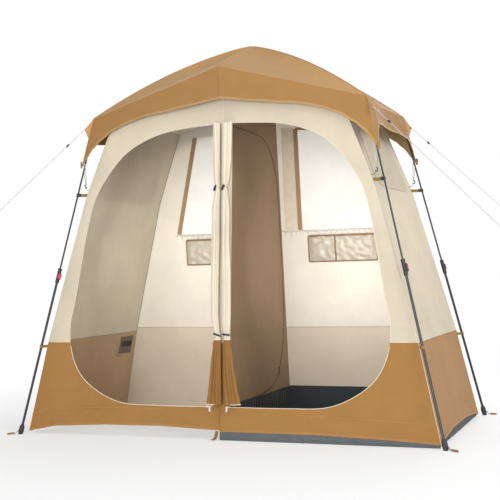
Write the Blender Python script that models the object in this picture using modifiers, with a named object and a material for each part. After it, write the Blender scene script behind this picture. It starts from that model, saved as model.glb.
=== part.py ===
"""Two-room shower tent on a folding hub frame, in metres with +Z up.

The origin lies on the ground under the hub. The doorways face -Y, and the two
rooms lie on either side of a partition at x = 0.
"""
import math

import bmesh
import bpy
from mathutils import Matrix, Vector

# Walls, measured at their outer faces
BASE_HALF_WIDTH = 1.080
SEAM_HALF_WIDTH = 0.977
STRAP_HALF_WIDTH = 0.768
TOP_INSET = 0.1207
BASE_HALF_DEPTH = 0.543
TOP_HALF_DEPTH = 0.399
SEAM_HEIGHT = 0.470
BACK_SEAM_HEIGHT = 0.490
STRAP_HEIGHT = 1.232
TOP_HEIGHT = 1.640
PEAK_HEIGHT = 1.800
CEILING_UNDER_HUB = 0.030
HEM_HEIGHT = 0.013
HEM_RISE = 0.030
CLOTH = 0.0015
GAP = 0.0004

# Doorways of the front wall
PILLAR_HALF_WIDTH = 0.052
DOOR_TOP = 1.560
DOOR_BOTTOM = 0.160
DOOR_EDGE_SHARES = (
    (0.0, 1.0), (0.383, 0.988), (0.634, 0.957), (0.808, 0.897), (0.914, 0.774), (0.925, 0.643),
    (0.893, 0.400), (0.880, 0.270), (0.812, 0.153), (0.700, 0.070), (0.513, 0.009), (0.290, 0.0),
    (0.0, 0.0),
)

# Partition and its door
PARTITION_HEM = 0.020
INNER_DOOR_TOP = 1.562
INNER_DOOR_BOTTOM = 0.153
INNER_DOOR_HINGE = -0.330
INNER_DOOR_ZIP_GAP = 0.0006
INNER_DOOR_SHARES = (
    (0.0, 1.0), (0.49, 1.0), (0.67, 0.989), (0.79, 0.958), (0.905, 0.885), (0.945, 0.790),
    (0.955, 0.640), (0.955, 0.400), (0.925, 0.240), (0.850, 0.125), (0.730, 0.041),
    (0.560, 0.009), (0.300, 0.0), (0.0, 0.0),
)

# Gathered doors: inner and outer edge as shares of the pillar's half width, by height share
BUNDLE_FLUTES = 6
BUNDLE_POINTS_PER_FLUTE = 4
BUNDLE_FLUTE_SHARE = 0.14
BUNDLE_DEPTH_SHARE = 0.80
BUNDLE_LEAST_DEPTH = 0.020
LEFT_BUNDLE_SHARES = (
    (1.0, -0.85, -0.12), (0.87, -0.81, -0.10), (0.80, -0.72, -0.10), (0.768, -0.56, -0.10),
    (0.735, -0.72, -0.10), (0.69, -0.88, -0.08), (0.58, -0.85, -0.05), (0.44, -0.90, -0.12),
    (0.31, -0.84, -0.10), (0.270, -0.60, 0.0), (0.248, -0.44, 0.08), (0.228, -0.56, 0.20),
    (0.146, -0.79, 0.30), (0.07, -0.98, 0.34), (0.014, -1.15, 0.38),
)
RIGHT_BUNDLE_SHARES = (
    (1.0, 0.12, 1.10), (0.87, 0.12, 1.04), (0.80, 0.13, 0.86), (0.768, 0.15, 0.56),
    (0.735, 0.14, 0.78), (0.69, 0.15, 0.92), (0.58, 0.19, 0.94), (0.44, 0.23, 1.12),
    (0.31, 0.27, 1.15), (0.270, 0.38, 1.08), (0.248, 0.48, 1.02), (0.228, 0.44, 1.17),
    (0.146, 0.50, 1.54), (0.07, 0.54, 1.90), (0.014, 0.58, 2.25),
)

# Pockets on the back wall
LEFT_POCKET_START = -0.605
RIGHT_POCKET_START = 0.158
POCKET_WIDTH = 0.400
POCKET_BOTTOM = 0.865
POCKET_TOP = 1.010
POCKET_DEPTH = 0.022

# Hose port in the left skirt
PORT_CENTRE_DEPTH = 0.390
PORT_CENTRE_HEIGHT = 0.400
PORT_HALF_LENGTH = 0.065
PORT_HALF_HEIGHT = 0.017

# Floor tray of the right room
TRAY_RIM = 0.038
TRAY_THICKNESS = 0.002

# Legs: they stand in the vertical planes of the two diagonals
FOOT_HALF_WIDTH = 1.106
FOOT_HALF_DEPTH = 0.582
LEG_TILT = math.radians(14.5)
ROD_RADIUS = 0.0045
TUBE_RADIUS = 0.0065
TUBE_WALL = 0.001
FIT = 0.0004
ROD_LOW_END = 0.550
LEG_TRAVEL = 0.330
COLLAR_LOW_END = 0.806
COLLAR_LENGTH = 0.077
COLLAR_RADIUS = 0.010
COLLAR_LIP = 0.0015
COLLAR_SOCKET = 0.025
LUG_HALF_WIDTH = 0.0105
LUG_HALF_LENGTH = 0.020
LUG_FACE = 0.0155
LUG_BACK = 0.0074
LUG_HEIGHT = 0.036
BUTTON_HALF_WIDTH = 0.008
BUTTON_HALF_LENGTH = 0.015
BUTTON_THICKNESS = 0.0055
BUTTON_FLOOR = 0.0095
BUTTON_TRAVEL = 0.003
BUTTON_EDGE = 0.001
BUTTON_AZIMUTHS = {"front_left": -40, "front_right": 5, "rear_left": 140, "rear_right": 80}

# Feet and their stake loops
FOOT_RADIUS = 0.0135
FOOT_TIP_RADIUS = 0.0105
FOOT_LENGTH = 0.052
FOOT_SOCKET = 0.022
LOOP_START = 0.030
LOOP_LENGTH = 0.040
LOOP_HALF_WIDTH = 0.012
LOOP_BAND = 0.005
LOOP_THICKNESS = 0.0024
LOOP_NECK_HALF_WIDTH = 0.003
LOOP_LIFT = 0.0006

# Hub, arms and elbows
HUB_PIVOT_RADIUS = 0.050
HUB_OVER_ELBOW = 0.360
HUB_RADIUS = 0.062
HUB_OVER_PIVOT = 0.016
HUB_UNDER_PIVOT = 0.018
HUB_CORNER = 0.003
HUB_CAP_RADIUS = 0.026
HINGE_PLATE = 0.006
HINGE_FIT = 0.0004
HINGE_PIN_RADIUS = 0.002
HINGE_HOLE_FIT = 0.0003
EYE_RADIUS = 0.0065
ROOT_LENGTH = 0.022
ARM_RADIUS = 0.005
ARM_END_SLOPE = math.radians(34.0)
EAVE_ARM_END_SLOPE = math.radians(25.0)
EAVE_ARM_REACH = 0.438
EAVE_ARM_HEIGHT = 1.834
EAVE_BALL_RADIUS = 0.007
ELBOW_PIN_HEIGHT = 1.615
PIN_TO_ARM = 0.009
PIN_TO_LEG = 0.010
CHEEK = 0.003
CHEEK_RADIUS = 0.008
SOCKET_RADIUS = 0.008
SOCKET_START = 0.016
SOCKET_LENGTH = 0.034
SOCKET_DEPTH = 0.022
LEG_CAP_RADIUS = 0.0065
LEG_CAP_START = 0.014
LEG_CAP_LENGTH = 0.030

# Fly
FLY_OVER_HUB = 0.0545
FLY_PEAK_HEIGHT = 1.842
FLY_PEAK_DEPTH = 0.449
FLY_CORNER_HEIGHT = 1.640
FLY_SIDE_HALF_WIDTH = 0.712
FLY_SIDE_HEM_HALF_WIDTH = 0.750
EAR_TIP_HEIGHT = 1.387
EAR_OUT = 0.010
EAR_FORWARD = 0.013
RIDGE_BOW = 0.045
EAVE_BOW = 0.012
ROOF_SAG = 0.030
SIDE_BOW = 0.004
HEM_CURVE = 16
FRONT_HEM_SHARES = (
    (0.0, 0.644), (0.136, 0.595), (0.38, 0.50), (0.57, 0.415), (0.724, 0.414), (0.826, 0.455),
    (0.909, 0.57), (0.96, 0.72), (1.0, 1.0),
)
SIDE_HEM_SHARES = ((0.88, 0.70), (0.75, 0.50), (0.4, 0.46), (0.0, 0.466))
ROOF_STEPS = 5
VALANCE_STEPS = 3
TAB_TIP = Vector((0.777, 0.429, 1.582))
TAB_LOW_HEIGHT = 1.555
TAB_THICKNESS = 0.002
TAB_TIP_HEIGHT = 0.006

# Straps that hold the body to the legs
CLIP_HEIGHT = 1.238
CLIP_WALL = 0.0025
CLIP_LENGTH = 0.016
CLIP_FIT = 0.0005
STRAP_THICKNESS = 0.002
STRAP_SET_BACK = 0.014
LOW_TAB_HEIGHT = 0.452
LOW_TAB_LENGTH = 0.014

# Guy lines, which run from the tabs towards pegs outside the view
GUY_RADIUS = 0.0015
GUY_OUT = 1.595
GUY_FORWARD = 0.636
GUY_START = 0.0029
GUY_LENGTHS = {"front_left": 0.660, "front_right": 0.930, "rear_right": 0.690}
GUY_POINTS = 12
ADJUSTER_PLACE = 0.122
ADJUSTER_RADIUS = 0.0045
ADJUSTER_LENGTH = 0.020
END_LOOP_RADIUS = 0.016
END_KNOT_RADIUS = 0.004

# Facets
ROUND_STEPS = 16
SMALL_STEPS = 10
SLOT_OVERRUN = 0.004
MERGE = 0.00002

CORNERS = {
    "front_left": (-1, -1),
    "front_right": (1, -1),
    "rear_left": (-1, 1),
    "rear_right": (1, 1),
}
ENDS = {"front": -1, "rear": 1}
SIDES = {"left": -1, "right": 1}
# Left edge, right edge and the shares of the width before each divider
POCKETS = {
    "pocket_left": (LEFT_POCKET_START, LEFT_POCKET_START + POCKET_WIDTH, ()),
    "pocket_right": (RIGHT_POCKET_START, RIGHT_POCKET_START + POCKET_WIDTH, (0.405,)),
}
FOOT_REACH = math.hypot(FOOT_HALF_WIDTH, FOOT_HALF_DEPTH)
LEG_COS = math.cos(LEG_TILT)
LEG_SIN = math.sin(LEG_TILT)
HUB_PIVOT_HEIGHT = ELBOW_PIN_HEIGHT + HUB_OVER_ELBOW
CEILING_HEIGHT = HUB_PIVOT_HEIGHT - CEILING_UNDER_HUB
FLY_APEX = HUB_PIVOT_HEIGHT + FLY_OVER_HUB
LEG_TOP_HALF_WIDTH = FOOT_HALF_WIDTH * (1 - math.tan(LEG_TILT) * TOP_HEIGHT / FOOT_REACH)
TOP_HALF_WIDTH = LEG_TOP_HALF_WIDTH - TOP_INSET

WALL_PROFILE = (
    (0.0, BASE_HALF_WIDTH),
    (SEAM_HEIGHT, SEAM_HALF_WIDTH),
    (STRAP_HEIGHT, STRAP_HALF_WIDTH),
    (TOP_HEIGHT, TOP_HALF_WIDTH),
)
WALL_LEAN = (BASE_HALF_DEPTH - TOP_HALF_DEPTH) / TOP_HEIGHT
WALL_COS = math.cos(math.atan(WALL_LEAN))
WALL_SIN = math.sin(math.atan(WALL_LEAN))


def half_width(height):
    """Half width of the body at a height."""
    for (low, wide), (high, narrow) in zip(WALL_PROFILE, WALL_PROFILE[1:]):
        if height <= high:
            break
    return wide + (narrow - wide) * (height - low) / (high - low)


def half_depth(height):
    """Half depth of the body at a height."""
    return BASE_HALF_DEPTH - WALL_LEAN * height


def inner_half_depth(height):
    """Half depth that a sheet between the front and the back wall may take."""
    return half_depth(height) - CLOTH / WALL_COS - GAP


def blend(low, high, share):
    return low + (high - low) * share


# Scene and mesh helpers

def clear_scene():
    for obj in list(bpy.data.objects):
        bpy.data.objects.remove(obj, do_unlink=True)


def new_collection(name):
    collection = bpy.data.collections.new(name)
    bpy.context.scene.collection.children.link(collection)
    return collection


def new_material(name, colour, roughness, metallic):
    material = bpy.data.materials.new(name)
    material.use_nodes = True
    shader = material.node_tree.nodes["Principled BSDF"]
    shader.inputs["Base Color"].default_value = (*colour, 1.0)
    shader.inputs["Roughness"].default_value = roughness
    shader.inputs["Metallic"].default_value = metallic
    material.diffuse_color = (*colour, 1.0)
    return material


def link_mesh(name, mesh, frame):
    obj = bpy.data.objects.new(name, mesh)
    PARTS.objects.link(obj)
    obj.matrix_world = frame
    return obj


def bake(obj):
    """Replace an object's mesh by what its modifiers make of it."""
    bpy.context.view_layer.update()
    depsgraph = bpy.context.evaluated_depsgraph_get()
    mesh = bpy.data.meshes.new_from_object(obj.evaluated_get(depsgraph))
    obj.modifiers.clear()
    obj.data = mesh
    weld(obj)
    return obj


def weld(obj):
    """Close hairline seams and point the faces out."""
    work = bmesh.new()
    work.from_mesh(obj.data)
    bmesh.ops.remove_doubles(work, verts=work.verts, dist=MERGE)
    bmesh.ops.recalc_face_normals(work, faces=work.faces)
    work.to_mesh(obj.data)
    work.free()


def combine(target, tool, operation):
    """Join a tool to a solid or cut it away, and remove the tool."""
    modifier = target.modifiers.new(operation.lower(), "BOOLEAN")
    modifier.operation = operation
    modifier.solver = "EXACT"
    modifier.object = tool
    bake(target)
    bpy.data.objects.remove(tool, do_unlink=True)
    return target


def unite(target, *others):
    for other in others:
        combine(target, other, "UNION")
    return target


def cut(target, *tools):
    for tool in tools:
        combine(target, tool, "DIFFERENCE")
    return target


def from_curve(name, curve, frame):
    """Make a mesh object of a curve, with its caps welded, and remove the curve."""
    source = bpy.data.objects.new(name, curve)
    PARTS.objects.link(source)
    source.matrix_world = frame
    bpy.context.view_layer.update()
    depsgraph = bpy.context.evaluated_depsgraph_get()
    mesh = bpy.data.meshes.new_from_object(source.evaluated_get(depsgraph))
    bpy.data.objects.remove(source, do_unlink=True)
    bpy.data.curves.remove(curve)
    obj = link_mesh(name, mesh, frame)
    weld(obj)
    return obj


def add_poly_spline(curve, points, cyclic):
    spline = curve.splines.new("POLY")
    spline.points.add(len(points) - 1)
    for point, place in zip(spline.points, points):
        point.co = (*place, 1.0)
    spline.use_cyclic_u = cyclic


def plate(name, outlines, thickness, frame):
    """Extruded flat outline, with further outlines as holes, centred on its frame's plane."""
    curve = bpy.data.curves.new(name, "CURVE")
    curve.dimensions = "2D"
    curve.fill_mode = "BOTH"
    curve.extrude = thickness / 2
    for outline in outlines:
        add_poly_spline(curve, [(x, y, 0.0) for x, y in outline], True)
    return from_curve(name, curve, frame)


def tube(name, points, radius, resolution, frame):
    """Solid round bar along points."""
    curve = bpy.data.curves.new(name, "CURVE")
    curve.dimensions = "3D"
    curve.bevel_depth = radius
    curve.bevel_resolution = resolution
    curve.use_fill_caps = True
    add_poly_spline(curve, points, False)
    return from_curve(name, curve, frame)


def turned(name, profile, steps, frame, closed=False):
    """Turn a profile of radius and height pairs about its frame's Z axis."""
    edges = [(index, index + 1) for index in range(len(profile) - 1)]
    if closed:
        edges.append((len(profile) - 1, 0))
    mesh = bpy.data.meshes.new(name)
    mesh.from_pydata([(radius, 0.0, height) for radius, height in profile], edges, [])
    obj = link_mesh(name, mesh, frame)
    screw = obj.modifiers.new("turn", "SCREW")
    screw.axis = "Z"
    screw.steps = steps
    screw.render_steps = steps
    screw.use_merge_vertices = True
    screw.merge_threshold = MERGE
    return bake(obj)


def cylinder(name, radius, low, high, steps, frame):
    return turned(name, [(0.0, high), (radius, high), (radius, low), (0.0, low)], steps, frame)


def pipe(name, radius, bore, low, high, steps, frame):
    profile = [(radius, high), (radius, low), (bore, low), (bore, high)]
    return turned(name, profile, steps, frame, closed=True)


def block(name, corners):
    """Box with its eight corners moved to given places, four below and four above."""
    work = bmesh.new()
    bmesh.ops.create_cube(work, size=1.0)
    order = sorted(work.verts, key=lambda vert: (vert.co.z, vert.co.y, vert.co.x))
    for vert, place in zip(order, corners):
        vert.co = place
    work.normal_update()
    bmesh.ops.recalc_face_normals(work, faces=work.faces)
    mesh = bpy.data.meshes.new(name)
    work.to_mesh(mesh)
    work.free()
    return link_mesh(name, mesh, Matrix.Identity(4))


def box(name, low, high, frame):
    """Box between two corners of a frame."""
    places = [frame @ Vector((x, y, z))
              for z in (low[2], high[2]) for y in (low[1], high[1]) for x in (low[0], high[0])]
    return block(name, places)


def skin(name, rows, closed=False, flip=False, tip=None, caps=False):
    """Surface through rows of points, with an optional tip before the first row."""
    work = bmesh.new()
    rings = [[work.verts.new(place) for place in row] for row in rows]
    count = len(rows[0])
    last = count if closed else count - 1
    for ring, following in zip(rings, rings[1:]):
        for index in range(last):
            ahead = (index + 1) % count
            corners = [ring[index], ring[ahead], following[ahead], following[index]]
            work.faces.new(corners[::-1] if flip else corners)
    if tip is not None:
        top = work.verts.new(tip)
        for index in range(last):
            corners = [top, rings[0][(index + 1) % count], rings[0][index]]
            work.faces.new(corners[::-1] if flip else corners)
    if caps:
        work.faces.new(rings[0])
        work.faces.new(rings[-1])
        work.normal_update()
        bmesh.ops.recalc_face_normals(work, faces=work.faces)
    mesh = bpy.data.meshes.new(name)
    work.to_mesh(mesh)
    work.free()
    return link_mesh(name, mesh, Matrix.Identity(4))


def thicken(obj, thickness):
    """Give an open surface its cloth thickness, on its inner side."""
    solidify = obj.modifiers.new("cloth", "SOLIDIFY")
    solidify.thickness = thickness
    solidify.offset = -1.0
    solidify.use_even_offset = True
    return bake(obj)


def keep_side(obj, level, above):
    """Cut a plate at a level of its own Y axis and keep the part above or below it."""
    work = bmesh.new()
    work.from_mesh(obj.data)
    everything = work.verts[:] + work.edges[:] + work.faces[:]
    bmesh.ops.bisect_plane(work, geom=everything, plane_co=(0, level, 0), plane_no=(0, 1, 0),
                           clear_inner=above, clear_outer=not above)
    rims = [edge for edge in work.edges if edge.is_boundary]
    bmesh.ops.holes_fill(work, edges=rims, sides=0)
    bmesh.ops.recalc_face_normals(work, faces=work.faces)
    work.to_mesh(obj.data)
    work.free()
    return obj


def finish(obj, material, smooth=False):
    """Give a part its material and shading."""
    obj.data.materials.clear()
    obj.data.materials.append(material)
    obj.data.name = obj.name
    if smooth:
        obj.data.shade_smooth()
        obj.data.set_sharp_from_angle(angle=math.radians(40))
    return obj


def pivot(name, place):
    """Empty on a joint's axis, which carries the pieces that move with it."""
    empty = bpy.data.objects.new(name, None)
    PARTS.objects.link(empty)
    empty.location = place
    bpy.context.view_layer.update()
    return empty


def carry(parent, *children):
    for child in children:
        child.parent = parent
        child.matrix_parent_inverse = parent.matrix_world.inverted()


# Outline helpers

def circle(centre, radius, steps):
    return [(centre[0] + radius * math.cos(math.tau * step / steps),
             centre[1] + radius * math.sin(math.tau * step / steps)) for step in range(steps)]


def stadium(start, end, radius, steps):
    """Outline with round ends about two points, with half a circle of steps at each."""
    heading = math.atan2(end[1] - start[1], end[0] - start[0])
    points = []
    for centre, turn in ((end, heading - math.pi / 2), (start, heading + math.pi / 2)):
        for step in range(steps + 1):
            angle = turn + math.pi * step / steps
            points.append((centre[0] + radius * math.cos(angle),
                           centre[1] + radius * math.sin(angle)))
    return points


def smooth_run(points, steps):
    """Smooth curve through points that keeps its two ends."""
    padded = [points[0], *points, points[-1]]
    run = []
    for before, start, end, after in zip(padded, padded[1:], padded[2:], padded[3:]):
        for step in range(steps):
            t = step / steps
            weights = (-0.5 * t + t * t - 0.5 * t ** 3,
                       1 - 2.5 * t * t + 1.5 * t ** 3,
                       0.5 * t + 2 * t * t - 1.5 * t ** 3,
                       -0.5 * t * t + 0.5 * t ** 3)
            run.append(tuple(sum(weight * place[axis] for weight, place
                                 in zip(weights, (before, start, end, after)))
                             for axis in range(len(start))))
    run.append(tuple(points[-1]))
    return run


def inset(outline, distance):
    """Outline moved inwards by a distance, for an outline that runs clockwise."""
    moved = []
    for before, here, after in zip(outline[-1:] + outline[:-1], outline,
                                   outline[1:] + outline[:1]):
        first = Vector((here[0] - before[0], here[1] - before[1])).normalized()
        second = Vector((after[0] - here[0], after[1] - here[1])).normalized()
        inward = Vector((first.y + second.y, -first.x - second.x)).normalized()
        reach = distance / max(0.3, inward.dot(Vector((first.y, -first.x))))
        moved.append((here[0] + inward.x * reach, here[1] + inward.y * reach))
    return moved


# Frames of reference

def frame_of(across, up, origin):
    """Frame with X across, Y up and Z square to both."""
    normal = across.cross(up)
    matrix = Matrix((across, up, normal)).transposed().to_4x4()
    matrix.translation = origin
    return matrix


def end_wall_frame(end):
    """Frame in the middle of the cloth of the front (-1) or rear (1) wall, Y running up it."""
    across = Vector((1, 0, 0))
    up = Vector((0, -end * WALL_SIN, WALL_COS))
    origin = Vector((0, end * BASE_HALF_DEPTH, 0)) + across.cross(up) * (end * CLOTH / 2)
    return frame_of(across, up, origin)


def radial(azimuth):
    return Vector((math.cos(azimuth), math.sin(azimuth), 0))


def radial_frame(azimuth, offset=0.0):
    """Frame of the vertical plane at an azimuth: X outwards, Y up, Z along the hinge axes."""
    frame = frame_of(radial(azimuth), Vector((0, 0, 1)), Vector((0, 0, 0)))
    return frame @ Matrix.Translation((0, 0, offset))


def axis_frame(origin, along, towards):
    """Frame with Z along an axis and X as near as it gets to another direction."""
    z_axis = along.normalized()
    x_axis = (towards - z_axis * towards.dot(z_axis)).normalized()
    y_axis = z_axis.cross(x_axis)
    matrix = Matrix((x_axis, y_axis, z_axis)).transposed().to_4x4()
    matrix.translation = origin
    return matrix


def corner_azimuth(corner):
    across, along = CORNERS[corner]
    return math.atan2(along * FOOT_HALF_DEPTH, across * FOOT_HALF_WIDTH)


def leg_point(corner, height):
    """Point of a leg's axis at a height."""
    reach = FOOT_REACH - math.tan(LEG_TILT) * height
    return radial(corner_azimuth(corner)) * reach + Vector((0, 0, height))


def leg_frame(corner, towards=None):
    """Frame at a leg's foot with Z up the leg."""
    outward = radial(corner_azimuth(corner))
    along = Vector((0, 0, LEG_COS)) - outward * LEG_SIN
    return axis_frame(outward * FOOT_REACH, along, outward if towards is None else towards)


# Frame geometry in the plane of an arm: outward reach and height

def arc_through(start, end, end_slope, first, count):
    """Points of the arc between two places that ends at a downward slope.

    The first length is left off. The slope at which the whole arc sets out comes with them.
    """
    chord = Vector((end[0] - start[0], end[1] - start[1]))
    chord_slope = math.atan2(chord.y, chord.x)
    bend = end_slope + chord_slope
    radius = chord.length / (2 * math.sin(bend))
    heading = chord_slope + bend
    centre = Vector(start) + radius * Vector((math.sin(heading), -math.cos(heading)))
    length = 2 * bend * radius
    points = []
    for step in range(count):
        travelled = blend(first, length, step / (count - 1))
        angle = heading + math.pi / 2 - travelled / radius
        points.append((centre.x + radius * math.cos(angle), centre.y + radius * math.sin(angle)))
    return points, heading


HUB_PIVOT = (HUB_PIVOT_RADIUS, HUB_PIVOT_HEIGHT)
ELBOW_PIN = (FOOT_REACH - math.tan(LEG_TILT) * ELBOW_PIN_HEIGHT - PIN_TO_LEG / LEG_COS,
             ELBOW_PIN_HEIGHT)
ARM_END = (ELBOW_PIN[0] + PIN_TO_ARM * math.sin(ARM_END_SLOPE),
           ELBOW_PIN[1] + PIN_TO_ARM * math.cos(ARM_END_SLOPE))
ARM_END_DIRECTION = (math.cos(ARM_END_SLOPE), -math.sin(ARM_END_SLOPE))
LEG_TOP = (ELBOW_PIN[1] + PIN_TO_LEG * LEG_SIN) / LEG_COS


def behind_arm_end(distance):
    """Point of the arm's end tangent, a distance back towards the hub."""
    return (ARM_END[0] - ARM_END_DIRECTION[0] * distance,
            ARM_END[1] - ARM_END_DIRECTION[1] * distance)


def below_leg_top(distance):
    """Point of the leg's axis in the arm's plane, a distance below the elbow pin's level."""
    along = LEG_TOP - distance
    return (FOOT_REACH - LEG_SIN * along, LEG_COS * along)


# Hub and arms

def arm_azimuths():
    """Azimuth of each arm by its name: four to the corners and two to the middle peaks."""
    azimuths = {"roof_arm_" + corner: corner_azimuth(corner) for corner in CORNERS}
    azimuths.update({"eave_arm_" + end: side * math.pi / 2 for end, side in ENDS.items()})
    return azimuths


def make_hub(plastic):
    """Disc with a slot and a pin for each arm."""
    low = HUB_PIVOT_HEIGHT - HUB_UNDER_PIVOT
    high = HUB_PIVOT_HEIGHT + HUB_OVER_PIVOT
    profile = [(0.0, high), (HUB_RADIUS - HUB_CORNER, high), (HUB_RADIUS, high - HUB_CORNER),
               (HUB_RADIUS, low + HUB_CORNER), (HUB_RADIUS - HUB_CORNER, low), (0.0, low)]
    hub = turned("hub", profile, 2 * ROUND_STEPS, Matrix.Identity(4))
    slot_half = HINGE_PLATE / 2 + HINGE_FIT
    slot_start = HUB_PIVOT_RADIUS - EYE_RADIUS - SLOT_OVERRUN / 2
    for azimuth in arm_azimuths().values():
        cut(hub, box("slot", (slot_start, low - SLOT_OVERRUN, -slot_half),
                     (HUB_RADIUS + SLOT_OVERRUN, high + SLOT_OVERRUN, slot_half),
                     radial_frame(azimuth)))
    for azimuth in arm_azimuths().values():
        pin_frame = radial_frame(azimuth) @ Matrix.Translation((*HUB_PIVOT, 0))
        pin_half = slot_half + HINGE_PIN_RADIUS
        unite(hub, cylinder("pin", HINGE_PIN_RADIUS, -pin_half, pin_half, SMALL_STEPS, pin_frame))
    return finish(hub, plastic, smooth=True)


def make_hub_cap(plastic):
    """Cone that the fly's apex lies on, no steeper than the fly's side slope."""
    slope = (FLY_APEX - FLY_CORNER_HEIGHT) / FLY_SIDE_HALF_WIDTH
    top = FLY_APEX - CLOTH * math.hypot(1.0, slope) - GAP
    radius = HUB_CAP_RADIUS
    rim = top - 1.3 * slope * radius
    foot = HUB_PIVOT_HEIGHT + HUB_OVER_PIVOT + GAP
    profile = [(0.0, top), (radius / 3, top - slope * radius / 2), (radius * 0.85, rim + GAP),
               (radius, rim - HUB_CORNER), (radius, foot), (0.0, foot)]
    return finish(turned("hub_cap", profile, ROUND_STEPS, Matrix.Identity(4)), plastic, True)


def make_arm(name, azimuth, bow_end, end_slope, straight, metal):
    """Bowed rod with a flat eye on a hub pin and a straight last stretch, if it has one."""
    points, heading = arc_through(HUB_PIVOT, bow_end, end_slope, ROOT_LENGTH - EYE_RADIUS / 2,
                                  SMALL_STEPS)
    points += straight
    rod = tube(name, [(x, y, 0.0) for x, y in points], ARM_RADIUS, 4, radial_frame(azimuth))
    root_end = (HUB_PIVOT[0] + ROOT_LENGTH * math.cos(heading),
                HUB_PIVOT[1] + ROOT_LENGTH * math.sin(heading))
    outlines = [stadium(HUB_PIVOT, root_end, EYE_RADIUS, SMALL_STEPS // 2),
                circle(HUB_PIVOT, HINGE_PIN_RADIUS + HINGE_HOLE_FIT, SMALL_STEPS)]
    unite(rod, plate("root", outlines, HINGE_PLATE, radial_frame(azimuth)))
    return finish(rod, metal, smooth=True)


def make_roof_arm(corner, metal):
    mouth = behind_arm_end(SOCKET_START + SOCKET_LENGTH)
    rod_end = behind_arm_end(SOCKET_START + SOCKET_LENGTH - SOCKET_DEPTH + GAP)
    return make_arm("roof_arm_" + corner, corner_azimuth(corner), mouth, ARM_END_SLOPE,
                    [rod_end], metal)


def make_eave_arm(end, metal):
    """Short arm that lifts the middle of an eave on its round tip."""
    azimuth = ENDS[end] * math.pi / 2
    tip = (EAVE_ARM_REACH, EAVE_ARM_HEIGHT)
    arm = make_arm("eave_arm_" + end, azimuth, tip, EAVE_ARM_END_SLOPE, [], metal)
    radius = EAVE_BALL_RADIUS
    half = SMALL_STEPS // 2
    profile = [(radius * math.sin(math.pi * step / half), radius * math.cos(math.pi * step / half))
               for step in range(half + 1)]
    profile[0] = (0.0, radius)
    profile[-1] = (0.0, -radius)
    ball_frame = radial_frame(azimuth) @ Matrix.Translation((*tip, 0))
    unite(arm, turned("ball", profile, SMALL_STEPS, ball_frame))
    return finish(arm, metal, smooth=True)


def make_elbow(corner, plastic):
    """Fork on the arm's end: a socket for the rod, two cheeks and the pin of the leg's hinge."""
    azimuth = corner_azimuth(corner)
    frame = radial_frame(azimuth)
    socket_middle = behind_arm_end(SOCKET_START + CHEEK_RADIUS)
    cheek_offset = HINGE_PLATE / 2 + HINGE_FIT + CHEEK / 2
    outline = stadium(ELBOW_PIN, socket_middle, CHEEK_RADIUS, SMALL_STEPS // 2)
    elbow = plate("elbow_" + corner, [outline], CHEEK, radial_frame(azimuth, cheek_offset))
    other = plate("cheek", [outline], CHEEK, radial_frame(azimuth, -cheek_offset))
    start = frame @ Vector((*behind_arm_end(SOCKET_START), 0))
    back = frame.to_3x3() @ Vector((-ARM_END_DIRECTION[0], -ARM_END_DIRECTION[1], 0))
    socket_frame = axis_frame(start, back, Vector((0, 0, 1)))
    socket = cylinder("socket", SOCKET_RADIUS, 0.0, SOCKET_LENGTH, ROUND_STEPS, socket_frame)
    bore = cylinder("bore", ARM_RADIUS + FIT, SOCKET_LENGTH - SOCKET_DEPTH,
                    SOCKET_LENGTH + SLOT_OVERRUN, ROUND_STEPS, socket_frame)
    pin_half = cheek_offset + CHEEK / 4
    pin_frame = frame @ Matrix.Translation((*ELBOW_PIN, 0))
    pin = cylinder("pin", HINGE_PIN_RADIUS, -pin_half, pin_half, SMALL_STEPS, pin_frame)
    cut(unite(elbow, socket, other), bore)
    unite(elbow, pin)
    return finish(elbow, plastic, smooth=True)


# Legs

def make_upper_rod(corner, metal):
    """Hollow rod below a cap whose tongue turns in the elbow's fork."""
    frame = leg_frame(corner)
    tongue_end = below_leg_top(LEG_CAP_START + CHEEK_RADIUS)
    outlines = [stadium(ELBOW_PIN, tongue_end, EYE_RADIUS, SMALL_STEPS // 2),
                circle(ELBOW_PIN, HINGE_PIN_RADIUS + HINGE_HOLE_FIT, SMALL_STEPS)]
    name = "upper_rod_" + corner
    tongue = plate("tongue", outlines, HINGE_PLATE, radial_frame(corner_azimuth(corner)))
    cap_top = LEG_TOP - LEG_CAP_START
    cap_foot = cap_top - LEG_CAP_LENGTH
    rod = pipe(name, ROD_RADIUS, ROD_RADIUS - TUBE_WALL, ROD_LOW_END, cap_foot + EYE_RADIUS,
               ROUND_STEPS, frame)
    cap = cylinder("cap", LEG_CAP_RADIUS, cap_foot, cap_top, ROUND_STEPS, frame)
    unite(rod, cap, tongue)
    return finish(rod, metal, smooth=True)


def make_lower_tube(corner, metal):
    """Tube from the foot's socket to the collar's socket."""
    high = COLLAR_LOW_END + COLLAR_SOCKET - GAP
    low = FOOT_LENGTH - FOOT_SOCKET + GAP
    tube_part = pipe("lower_tube_" + corner, TUBE_RADIUS, TUBE_RADIUS - TUBE_WALL, low, high,
                     ROUND_STEPS, leg_frame(corner))
    return finish(tube_part, metal, smooth=True)


def button_frame(corner):
    """Frame on a leg's axis at the button's height, X towards the button's face."""
    towards = radial(math.radians(BUTTON_AZIMUTHS[corner]))
    place = Matrix.Translation((0, 0, COLLAR_LOW_END + LUG_HEIGHT))
    return leg_frame(corner, towards) @ place


def button_plate(name, corner, half_across, half_along, low, high):
    """Plate with round ends that faces a button's way, between two distances off the leg."""
    frame = button_frame(corner)
    turned_frame = frame @ Matrix(((0, 0, 1, (low + high) / 2), (1, 0, 0, 0), (0, 1, 0, 0),
                                   (0, 0, 0, 1)))
    reach = half_along - half_across
    outline = stadium((0, -reach), (0, reach), half_across, SMALL_STEPS // 2)
    return plate(name, [outline], high - low, turned_frame)


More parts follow.
